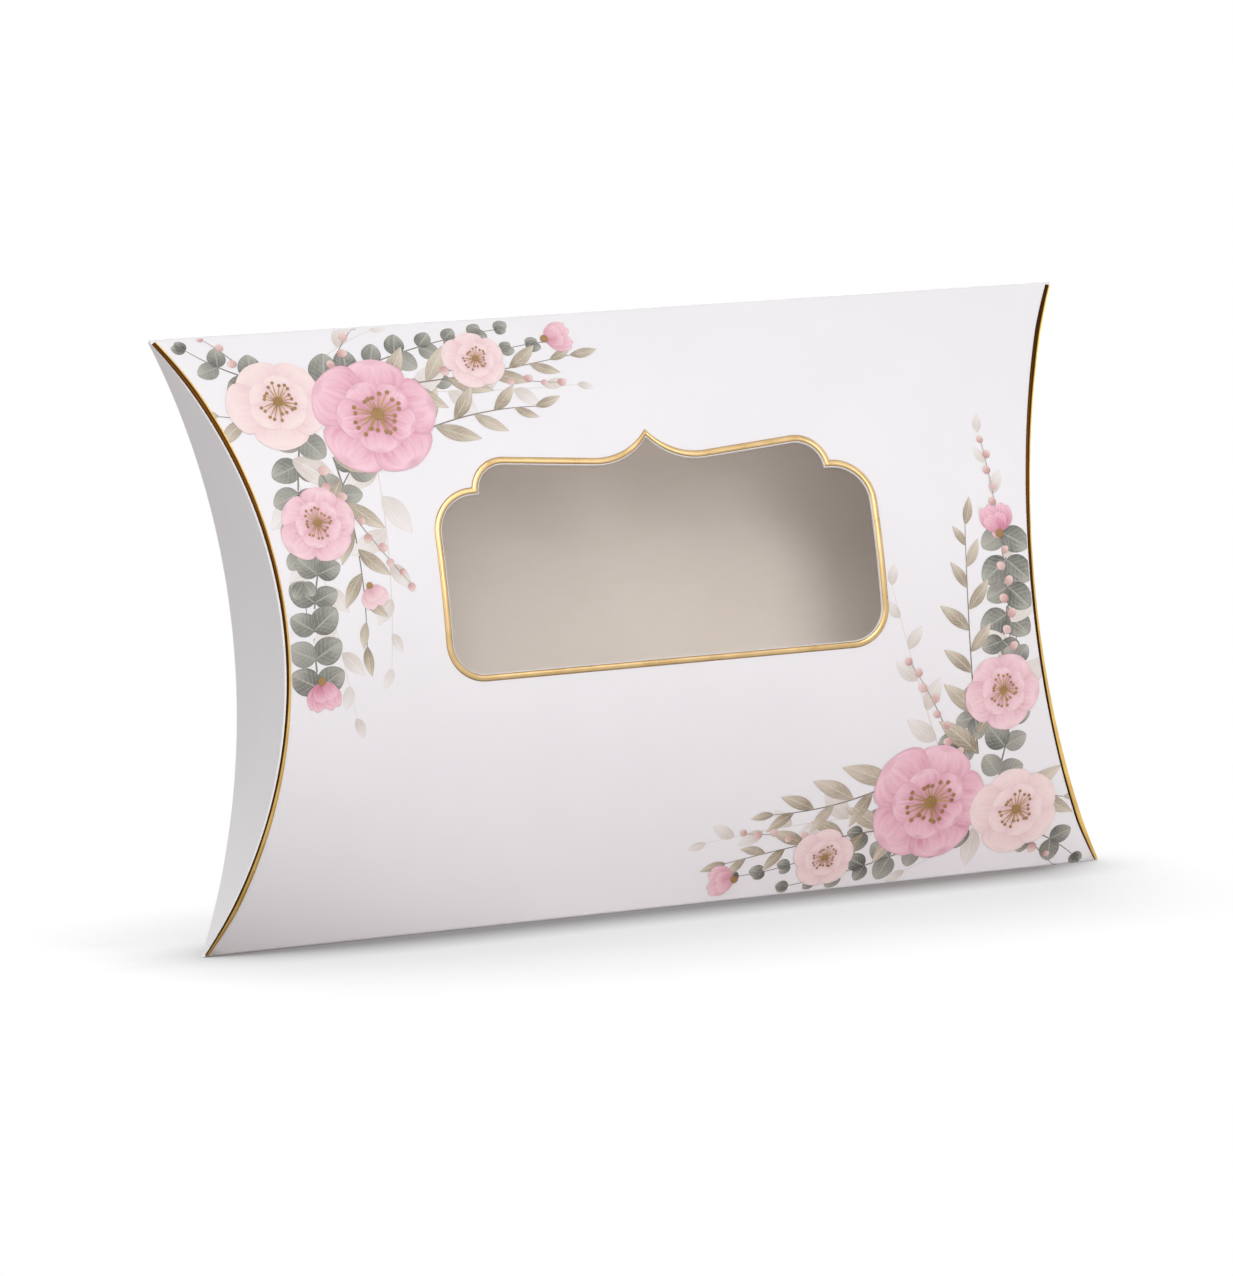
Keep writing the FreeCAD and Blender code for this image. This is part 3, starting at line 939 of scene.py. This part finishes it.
# %% [markdown]
# ## Printed sprays
#
# Two corners of the front carry a soft botanical print. It is an own design: open five-petalled blossoms
# with round-leaved and slim-leaved sprigs along an arching stem. Every leaf and petal is the same blade
# with other proportions, so one node group makes it and stores how far along and across the blade a point
# lies.

# %% Node group for a leaf or petal
def build_blade():
    tree, given = new_tree("blade", {
        "Length": 10.0 * MM, "Width": 4.0 * MM, "Widest": 1.0, "Roundness": 0.8, "Notch": 0.0,
        "Curl": 0.0,
    })
    cells = {"Size X": 1.0, "Size Y": 1.0, "Vertices X": 15, "Vertices Y": 7}
    x, y, _ = split(tree, "GeometryNodeInputPosition")
    along = ((x + 0.5) * math.pi).math("COSINE") * -0.5 + 0.5
    across = y * 2.0
    sheet = named(named(give(tree, "GeometryNodeMeshGrid", cells), "along", along), "across", across)
    lobe = (along ** given["Widest"] * math.pi).math("SINE")
    swell = lobe.at_least(0.0) ** given["Roundness"]
    dent = along**5.0 * ((1.0 - across * across) * given["Notch"])
    half = across * swell * (given["Width"] * 0.5)
    bow = along * along * (given["Curl"] * given["Length"])
    deliver(moved(sheet, Position=point(tree, (along - dent) * given["Length"], half + bow)))
    return tree


blade = build_blade()


def blade_in(tree, **sizes):
    """A blade inside another tree, with its sizes linked or set."""
    inputs = {name.capitalize(): value for name, value in sizes.items()}
    return give(tree, "GeometryNodeGroup", inputs, node_tree=blade)


# %% Helpers for what is scattered
PRINT_TRIM = 1.2 * MM


def chance(tree, low, high, index, seed):
    """A random number for each item, fixed by a seed."""
    inputs = {2: low, 3: high, "ID": index, "Seed": seed}
    return give(tree, "FunctionNodeRandomValue", inputs, 1, data_type="FLOAT")


def spun(tree, angle):
    """A turn about the layout's upright axis."""
    return give(tree, "FunctionNodeEulerToRotation", {0: point(tree, z=angle)})


def raised(geometry, height):
    """Geometry lifted off the sheet."""
    return moved(geometry, Offset=point(geometry.tree, z=height))


def joined(*parts):
    """Several geometries as one."""
    tree = parts[0].tree
    join = put(tree, "GeometryNodeJoinGeometry")
    for part in parts:
        tree.links.new(part.socket, join.inputs[0])
    return Value(tree, join.outputs[0])


def set_out(points, item, angle, size, **more):
    """Copies of an item on points, turned and scaled on the sheet."""
    tree = points.tree
    scale = point(tree, size, size, 1.0)
    inputs = {"Points": points, "Instance": item, "Rotation": spun(tree, angle), "Scale": scale, **more}
    return give(tree, "GeometryNodeInstanceOnPoints", inputs)


# %% Leaves along a stem
def sprig_leaves(tree, given, share):
    """Leaves on both sides of a stem, in turn or in pairs, smaller and closer to it towards its tip."""
    spacing = {"Curve": given["Geometry"], "Length": given["Spacing"]}
    stations = give(tree, "GeometryNodeResampleCurve", spacing, mode="LENGTH")
    index = give(tree, "GeometryNodeInputIndex")
    run_x, run_y, _ = split(tree, "GeometryNodeInputTangent")
    heading = run_y.math("ARCTAN2", run_x)
    points = raised(stations, given["Lift"] + chance(tree, 0.0, 0.02 * MM, index, given["Seed"]))
    leaf = blade_in(
        tree, length=given["Leaf Length"], width=given["Leaf Width"], widest=given["Widest"],
        roundness=given["Roundness"], curl=given["Curl"],
    )
    fan = given["Spread"] * (share**3.0 * -0.75 + 1.0)
    taper = share * (given["Tip Scale"] - 1.0) + 1.0
    odd = index.math("MODULO", 2.0)
    leaves = []
    for side, own in ((1.0, 1.0 - odd), (-1.0, odd)):
        seed = given["Seed"] + (5.0 + side)
        wanted = own.at_least(given["Paired"]).math("GREATER_THAN", 0.5)
        angle = heading + (fan * side + chance(tree, -0.2, 0.2, index, seed))
        size = taper * chance(tree, 0.8, 1.1, index, seed + 9.0)
        placed = set_out(points, leaf, angle, size, Selection=wanted)
        leaves.append(named(placed, "shade", chance(tree, 0.0, 1.0, index, seed + 20.0), "INSTANCE"))
    return realised(joined(*leaves), given["Leaf"])


def sprig_stem(tree, given, share):
    """A flat ribbon along the stem that thins towards its tip."""
    ribbon = give(tree, "GeometryNodeCurvePrimitiveLine", {"Start": (-0.5, 0, 0), "End": (0.5, 0, 0)})
    level = give(tree, "GeometryNodeSetCurveNormal", {"Curve": given["Geometry"]}, mode="Z_UP")
    width = given["Stem Width"] * (share * -0.6 + 1.0)
    swept = give(tree, "GeometryNodeCurveToMesh", {"Curve": level, "Profile Curve": ribbon, "Scale": width})
    return realised(raised(swept, given["Lift"] * 0.6), given["Stem"])


def build_sprig():
    tree, given = new_tree("leafy_sprig", {
        "Spacing": 5.0 * MM, "Leaf Length": 9.0 * MM, "Leaf Width": 4.0 * MM, "Widest": 1.0,
        "Roundness": 0.8, "Curl": 0.0, "Spread": 0.9, "Tip Scale": 0.45, "Paired": 0.0,
        "Stem Width": 0.3 * MM, "Lift": 0.02 * MM, "Seed": 1, "Leaf": None, "Stem": None,
    })
    share = give(tree, "GeometryNodeSplineParameter", output="Factor")
    sprig = joined(sprig_stem(tree, given, share), sprig_leaves(tree, given, share))
    deliver(wrapped(sprig, PRINT_TRIM))
    return tree


leafy_sprig = build_sprig()

# %% Petals and heart of a blossom
PETAL_STEP = 0.004 * MM
INNER_LIFT = 0.03 * MM
THREAD_LIFT = 0.06 * MM
DOT_LIFT = 0.14 * MM
BUTTON_LIFT = 0.145 * MM
THREAD_SHARE = 0.4


def ring_of(given, index, count, item, angle, size, height):
    """Copies of an item round a blossom's middle, each a little above the one before."""
    tree = index.tree
    spot = point(tree, z=index * PETAL_STEP + height)
    spots = give(tree, "GeometryNodePoints", {"Count": count, "Position": spot})
    shade = chance(tree, 0.0, 1.0, index, given["Seed"])
    return named(set_out(spots, item, angle, size), "shade", shade, "INSTANCE")


def blossom_petals(tree, given, index):
    """An outer and an inner ring of petals."""
    petal = blade_in(
        tree, length=given["Petal Length"], width=given["Petal Width"], widest=given["Widest"],
        roundness=given["Roundness"], notch=given["Notch"],
    )
    rings = []
    for phase, size, height in ((0.0, 1.0, 0.0), (0.5, given["Inner Scale"], INNER_LIFT)):
        angle = given["Fan"] * ((index + phase) / given["Petals"] - 0.4)
        wobble = chance(tree, -0.1, 0.1, index, given["Seed"] + 3.0)
        grown = chance(tree, 0.92, 1.06, index, given["Seed"] + 4.0) * size
        rings.append(ring_of(given, index, given["Petals"], petal, angle + wobble, grown, height))
    return realised(joined(*rings), given["Petal"])


def blossom_heart(tree, given, index):
    """Stamens with a dot at each tip, round a button."""
    length = given["Petal Length"]
    thread = blade_in(tree, length=length * THREAD_SHARE, width=length * 0.03)
    swing = index / given["Stamens"] * FULL_TURN + chance(tree, -0.15, 0.15, index, 31)
    reach = chance(tree, 0.65, 1.05, index, 32)
    threads = ring_of(given, index, given["Stamens"], thread, swing, reach, THREAD_LIFT)
    far = reach * length * THREAD_SHARE
    tip = point(tree, far * swing.math("COSINE"), far * swing.math("SINE"), DOT_LIFT)
    tips = give(tree, "GeometryNodePoints", {"Count": given["Stamens"], "Position": tip})
    bead = {"Vertices": 9, "Radius": length * 0.035}
    dot = give(tree, "GeometryNodeMeshCircle", bead, fill_type="NGON")
    dots = give(tree, "GeometryNodeInstanceOnPoints", {"Points": tips, "Instance": dot})
    button = {"Vertices": 20, "Radius": length * given["Eye"]}
    middle = raised(give(tree, "GeometryNodeMeshCircle", button, fill_type="NGON"), BUTTON_LIFT)
    return realised(joined(threads, dots, middle), given["Thread"])


# %% Node tree for blossoms and buds
def build_blossom():
    tree, given = new_tree("blossom", {
        "Petals": 5, "Petal Length": 10.0 * MM, "Petal Width": 10.0 * MM, "Widest": 1.7,
        "Roundness": 0.6, "Notch": 0.1, "Fan": FULL_TURN, "Inner Scale": 0.62, "Stamens": 18,
        "Eye": 0.12, "Lift": 0.05 * MM, "Seed": 1, "Petal": None, "Thread": None,
    })
    index = give(tree, "GeometryNodeInputIndex")
    flower = joined(blossom_petals(tree, given, index), blossom_heart(tree, given, index))
    names = ("size", "turn", "pale")
    size, turned, pale = [give(tree, "GeometryNodeInputNamedAttribute", {"Name": name}) for name in names]
    placed = set_out(given["Geometry"], raised(flower, given["Lift"]), turned, size)
    toned = named(placed, "tone", pale, "INSTANCE")
    real = give(tree, "GeometryNodeRealizeInstances", {"Geometry": toned})
    deliver(wrapped(real, PRINT_TRIM))
    return tree


blossom = build_blossom()

# %% [markdown]
# ## Inks
#
# The print imitates watercolour: pigment pools at the base and along the rim of each stroke, thins
# towards the tip and settles in grains. Leaves also have a pale midrib and veins. The stored along and
# across values place all of this, and each leaf or petal has its own shade.

# %% Finishes of the print
PALE_WASH = (0.90, 0.80, 0.75)
VEINS = 6


def ink_finish(name, base, middle, tip, rim, half_shade=0.0, rib=0.0, fade=1.0):
    """A wash of ink in three tones along a blade, with a rim, a shaded half, a pale midrib and veins."""
    material, tree, shader = new_finish(name, Roughness=0.5)
    along, across, own = [attribute(tree, label) for label in ("along", "across", "shade")]
    away = abs(across)
    streak_place = point(tree, along * 1.2, across * 5.0, own * 40.0)
    streak = give(tree, "ShaderNodeTexNoise", {"Vector": streak_place, "Scale": 1.6, "Detail": 3.0})
    shifted = along + streak.spread(0.25, 0.75, -0.22, 0.22)
    wash = shifted.spread(0.1, 0.6).tint(base, middle)
    wash = shifted.spread(0.5, 1.0).tint(wash, tip)
    wash = (across.spread(-0.05, 0.05) * half_shade).tint(wash, base)
    wash = (away.spread(0.03, 0.09, 1, 0) * rib).tint(wash, tip)
    ripple = ((along - away * 0.3) * (VEINS * FULL_TURN)).math("SINE")
    wash = (ripple.spread(0.75, 1.0) * (0.6 * rib)).tint(wash, tip)
    edge = away.spread(0.84, 1.0).at_least(along.spread(0.93, 1.0))
    wash = (edge * 0.55).tint(wash, rim)
    wash = grain(tree, 420, 3).spread(0.35, 0.7, 0, 0.35).tint(wash, tip)
    wash = own.spread(0.5, 1, 0, 0.45).tint(wash, tip)
    pale = attribute(tree, "tone") * along.spread(0, 0.9, 0.45 * fade, 0.85 * fade)
    feed(shader, Base_Color=pale.tint(wash, PALE_WASH), Normal=grain(tree, 2600, 2).bump(0.25, 0.00001))
    return material


petal_ink = ink_finish(
    "blush_petal_ink", (0.42, 0.07, 0.14), (0.66, 0.24, 0.35), (0.88, 0.58, 0.66), (0.50, 0.16, 0.25)
)
sage_ink = ink_finish(
    "sage_leaf_ink", (0.09, 0.092, 0.085), (0.20, 0.20, 0.178), (0.46, 0.45, 0.40), (0.08, 0.08, 0.072),
    half_shade=0.35, rib=0.7,
)
taupe_ink = ink_finish(
    "taupe_leaf_ink", (0.25, 0.195, 0.135), (0.44, 0.365, 0.275), (0.72, 0.64, 0.545), (0.22, 0.175, 0.125),
    half_shade=0.3, rib=0.6,
)
mist_ink = ink_finish(
    "mist_leaf_ink", (0.60, 0.52, 0.47), (0.74, 0.68, 0.645), (0.83, 0.79, 0.785), (0.62, 0.55, 0.51),
    half_shade=0.2, rib=0.4,
)
berry_ink = ink_finish(
    "rose_berry_ink", (0.50, 0.26, 0.25), (0.66, 0.42, 0.40), (0.82, 0.64, 0.61), (0.42, 0.22, 0.21)
)
stem_ink = ink_finish(
    "umber_stem_ink", (0.20, 0.17, 0.14), (0.26, 0.22, 0.18), (0.34, 0.30, 0.25), (0.2, 0.17, 0.14)
)
thread_ink = ink_finish(
    "ochre_thread_ink", (0.30, 0.16, 0.05), (0.42, 0.25, 0.09), (0.55, 0.36, 0.15), (0.25, 0.13, 0.04),
    fade=0.0,
)
print("inks:", [material.name for material in bpy.data.materials if material.name.endswith("_ink")])

# %% [markdown]
# ## Layout of the sprays
#
# Each spray arches round a corner of the window: the upper one from the left crease to the top edge, the
# lower one from the right crease to the bottom edge. A stem is given by its start, heading, length and
# bend, in millimetres and degrees on the flat sheet.

# %% Stems of the sprays
STEM_STEPS = 24


def stem_path(u, v, heading, length, bend):
    """Points of a stem whose heading changes evenly along it."""
    path = [(u * MM, v * MM)]
    step = length / STEM_STEPS * MM
    for i in range(STEM_STEPS):
        angle = math.radians(heading + bend * (i + 0.5) / STEM_STEPS)
        path.append((path[-1][0] + step * math.cos(angle), path[-1][1] + step * math.sin(angle)))
    return path


def opposite(stems):
    """The same stems turned half round the middle of the panel."""
    return [(-u, -v, heading + 180, length, bend) for u, v, heading, length, bend in stems]


ROUND_STEMS = [
    (-62, -8, 96, 84, -94), (-54, 43, 24, 33, -18), (-60, 34, -104, 30, 16), (-66, 45, 158, 12, -20),
]
SLIM_STEMS = [(-44, 42, 2, 34, 8), (-55, 30, -80, 32, -14), (-64, 37, 170, 9, 0), (-40, 33, 20, 22, -22)]
TWIGS = [(-52, 46, 66, 9, -20), (-58, 28, -62, 24, 10), (-68, 48, 128, 7, 10), (-33, 45, -20, 20, 14)]
MIST_STEMS = [(-50, 42, -8, 40, 10), (-48, 34, -88, 40, -8), (-62, 30, -84, 44, 4), (-56, 46, 40, 14, -20)]
LOWER_SLIM = [(46, -42, 182, 36, 8), (56, -30, 98, 40, -14), (64, -38, -10, 9, 0), (40, -34, 200, 22, -22)]
LOWER_MIST = [(48, -40, 176, 42, 12), (50, -32, 112, 34, -12), (63, -24, 92, 50, 2), (56, -44, 220, 14, -20)]
LOWER_TWIGS = [(62, -12, 90, 36, 4), (52, -30, 112, 19, 10), (68, -48, -52, 7, 10), (33, -45, 160, 20, 14)]
print("the upper spray has", len(ROUND_STEMS + SLIM_STEMS + TWIGS + MIST_STEMS), "stems")

# %% Sprigs on the stems
sprig_kinds = [
    ("round_leaf_sprigs", ROUND_STEMS + opposite(ROUND_STEMS), dict(
        spacing=4.6 * MM, leaf_length=5.6 * MM, leaf_width=4.9 * MM, widest=0.85, roundness=0.55,
        spread=1.0, tip_scale=0.45, paired=1.0, stem_width=0.32 * MM, lift=0.02 * MM, seed=4,
        leaf=sage_ink, stem=stem_ink)),
    ("mist_leaf_sprigs", MIST_STEMS + LOWER_MIST, dict(
        spacing=5.2 * MM, leaf_length=9.0 * MM, leaf_width=4.4 * MM, widest=0.85, roundness=0.8, curl=-0.1,
        spread=0.85, tip_scale=0.4, paired=0.0, stem_width=0.22 * MM, lift=0.01 * MM, seed=12, leaf=mist_ink,
        stem=mist_ink)),
    ("slim_leaf_sprigs", SLIM_STEMS + LOWER_SLIM, dict(
        spacing=3.6 * MM, leaf_length=9.5 * MM, leaf_width=3.3 * MM, widest=0.9, roundness=0.95, curl=0.12,
        spread=0.75, tip_scale=0.5, paired=0.0, stem_width=0.3 * MM, lift=0.045 * MM, seed=7, leaf=taupe_ink,
        stem=stem_ink)),
    ("berry_twigs", TWIGS + LOWER_TWIGS, dict(
        spacing=2.6 * MM, leaf_length=1.9 * MM, leaf_width=1.7 * MM, widest=0.9, roundness=0.5,
        spread=0.8, tip_scale=0.75, paired=0.0, stem_width=0.2 * MM, lift=0.07 * MM, seed=9,
        leaf=berry_ink, stem=stem_ink)),
]
for name, stems, values in sprig_kinds:
    source = flat_curves(name, [stem_path(*stem) for stem in stems])
    piece = grow_piece(name, source, leafy_sprig, **values)
    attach(piece, "carton")

# %% Blossoms and buds
def flat_points(name, spots):
    """A mesh of loose points on the flat layout, each with a size, a turn and a paleness."""
    mesh = bpy.data.meshes.new(name)
    mesh.from_pydata([(u * MM, v * MM, 0) for u, v, *_ in spots], [], [])
    store(mesh, "size", [size for _, _, size, _, _ in spots])
    store(mesh, "turn", [math.radians(turn) for _, _, _, turn, _ in spots])
    store(mesh, "pale", [pale for _, _, _, _, pale in spots])
    return bpy.data.objects.new(name, mesh)


UPPER_FLOWERS = [
    (-46, 37, 1.1, 10, 0.0), (-62.5, 40.5, 0.86, 48, 0.85),
    (-59.5, 19, 0.66, 80, 0.25), (-27, 46, 0.56, 25, 0.7),
]
LOWER_FLOWERS = [
    (47.5, -38, 1.12, 0, 0.0), (64, -41, 0.84, 35, 0.8),
    (60.5, -19, 0.7, 62, 0.3), (28.5, -46.5, 0.58, 15, 0.75),
]
BUDS = [
    (-14, 49, 0.5, 5, 0.2), (-61.5, -7, 0.5, -85, 0.0), (12, -49, 0.5, 180, 0.2), (61.5, 8, 0.52, 95, 0.0),
    (-52, 8, 0.4, -70, 0.5),
]
flower_kinds = [
    ("open_blossoms", UPPER_FLOWERS + LOWER_FLOWERS, dict(
        petals=5, petal_length=10.0 * MM, petal_width=10.5 * MM, widest=1.7, roundness=0.6, notch=0.1,
        fan=FULL_TURN, inner_scale=0.62, stamens=20, eye=0.1, lift=0.1 * MM, seed=3)),
    ("half_open_buds", BUDS, dict(
        petals=4, petal_length=10.0 * MM, petal_width=6.0 * MM, widest=1.2, roundness=0.7, notch=0.0,
        fan=1.3, inner_scale=0.7, stamens=0, eye=0.14, lift=0.08 * MM, seed=6)),
]
for name, spots, values in flower_kinds:
    piece = grow_piece(name, flat_points(name, spots), blossom, petal=petal_ink, thread=thread_ink, **values)
    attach(piece, "carton")

# %% [markdown]
# ## Floor and light
#
# The box stands on a plain white sweep. Near the box the floor is matt and keeps the lamps' shadow, and it
# also shows painted shade from ambient occlusion under the box; further out, and soon past the right end, it
# fades to plain white. Light comes from a dim surround and soft lamps in front, higher up, on both sides and
# behind.

# %% Shade on the floor
WIDE_SHADE = (0.725, 0.725, 0.725)
CONTACT_SHADE = (0.36, 0.35, 0.35)
FLOOR_TONES = (0.97, 0.97, 0.97), (0.99, 0.99, 0.99)
WHITE = (1, 1, 1)
HALF_TONE = (0.5, 0.5, 0.5)
WIDE_REACH, CONTACT_REACH = 0.5, 0.04
SIDE_FADE = 0.076, 0.112


def product(first, second):
    """Two colours multiplied."""
    inputs = {0: 1.0, 6: first, 7: full_colour(second)}
    return give(first.tree, "ShaderNodeMix", inputs, 2, data_type="RGBA", blend_type="MULTIPLY")


def shaded_paper(tree, x):
    """The sweep's colour with painted shade from ambient occlusion: a wide soft shade under the box, and a
    narrow dark one where they touch.
    """
    openness = give(tree, "ShaderNodeAmbientOcclusion", {"Distance": WIDE_REACH}, "AO")
    close = give(tree, "ShaderNodeAmbientOcclusion", {"Distance": CONTACT_REACH}, "AO")
    paper = grain(tree, 6, 2).tint(*FLOOR_TONES)
    fade = openness.spread(0.4, 0.995) ** 7.0
    wide = fade.at_least(abs(x).spread(*SIDE_FADE)).tint(WIDE_SHADE, paper)
    return product(wide, close.spread(0.45, 0.93).tint(CONTACT_SHADE, WHITE))


def seen_directly(tree):
    """1 for rays from the camera, or reflected or passed on from it, else 0."""
    path = put(tree, "ShaderNodeLightPath").outputs
    kinds = ("Camera", "Glossy", "Transmission")
    camera_ray, glossy, passed = [Value(tree, path[f"Is {kind} Ray"]) for kind in kinds]
    return camera_ray.at_least(glossy).at_least(passed)


# %% Floor and surround
CARD_BEHIND = (0.40, 0.37, 0.345)
CARD_BEFORE = (0.82, 0.79, 0.775)
FLOOR_RADIUS = 6.0
FAR_FADE = 0.12, 0.36
RIGHT_FADE = 0.07, 0.097


def mixed(share, first, second):
    """One of two shaders, or both by a share."""
    return give(share.tree, "ShaderNodeMixShader", {0: share, 1: first, 2: second})


def floor_finish():
    material = bpy.data.materials.new("white_sweep")
    material.use_nodes = True
    tree = material.node_tree
    tree.nodes.clear()
    place = give(tree, "ShaderNodeTexCoord", output="Object")
    x, y, _ = [Value(tree, part) for part in put(tree, "ShaderNodeSeparateXYZ", {0: place}).outputs]
    distance = give(tree, "ShaderNodeVectorMath", {0: place}, "Value", operation="LENGTH")
    shaded = shaded_paper(tree, x)
    matt = give(tree, "ShaderNodeBsdfDiffuse", {"Color": product(shaded, HALF_TONE)})
    # The glow gives off the sweep's colour with its painted shade, so open floor reads white and the shade
    # stays.
    glow = give(tree, "ShaderNodeEmission", {"Color": shaded, "Strength": 0.68})
    lit_paper = give(tree, "ShaderNodeAddShader", {0: matt, 1: glow})
    before_box = x * 0.8 + 0.06 - y
    card = before_box.spread(0.0, 0.05).tint(CARD_BEHIND, CARD_BEFORE)
    bounce = give(tree, "ShaderNodeBsdfDiffuse", {"Color": card})
    white = give(tree, "ShaderNodeEmission", {"Color": full_colour(WHITE), "Strength": 1.0})
    past_right_end = (x + y * -0.36).spread(*RIGHT_FADE)
    far = distance.spread(*FAR_FADE).at_least(past_right_end)
    shown = mixed(seen_directly(tree), bounce, mixed(far, lit_paper, white))
    put(tree, "ShaderNodeOutputMaterial", {"Surface": shown})
    return material


disc = bmesh.new()
bmesh.ops.create_circle(disc, cap_ends=True, segments=96, radius=FLOOR_RADIUS)
floor_mesh = bpy.data.meshes.new("floor")
disc.to_mesh(floor_mesh)
disc.free()
floor_mesh.materials.append(floor_finish())
floor = bpy.data.objects.new("floor", floor_mesh)
bpy.context.scene.collection.objects.link(floor)

world = bpy.data.worlds.new("pale_surround")
world.use_nodes = True
sky = world.node_tree
sky.nodes.clear()
strength = seen_directly(sky).spread(0, 1, 0.3, 1.0)
surround = give(sky, "ShaderNodeBackground", {"Color": full_colour(WHITE), "Strength": strength})
put(sky, "ShaderNodeOutputWorld", {"Surface": surround})
bpy.context.scene.world = world
print("floor and surround are in place")

# %% Lamps
LAMP_AIM = Vector((0, 0, 0.05))


def lamp(name, place, size, power):
    """A soft square lamp that faces the box."""
    data = bpy.data.lights.new(name, "AREA")
    data.size = size
    data.energy = power
    piece = bpy.data.objects.new(name, data)
    piece.location = place
    piece.rotation_euler = (LAMP_AIM - Vector(place)).to_track_quat("-Z", "Y").to_euler()
    bpy.context.scene.collection.objects.link(piece)
    print(name, "gives", power, "watts")


lamp("high_lamp", (-0.22, -0.97, 0.85), 0.7, 5.9)
lamp("front_lamp", (0.1, -1.2, 0.42), 0.5, 2.85)
lamp("left_lamp", (-1.1, -0.5, 0.5), 0.8, 3.5)
lamp("back_lamp", (0.2, 1.15, 0.5), 0.9, 9.0)
lamp("right_lamp", (1.1, 0.3, 0.5), 0.8, 5.0)
bpy.context.scene.view_settings.view_transform = "Standard"
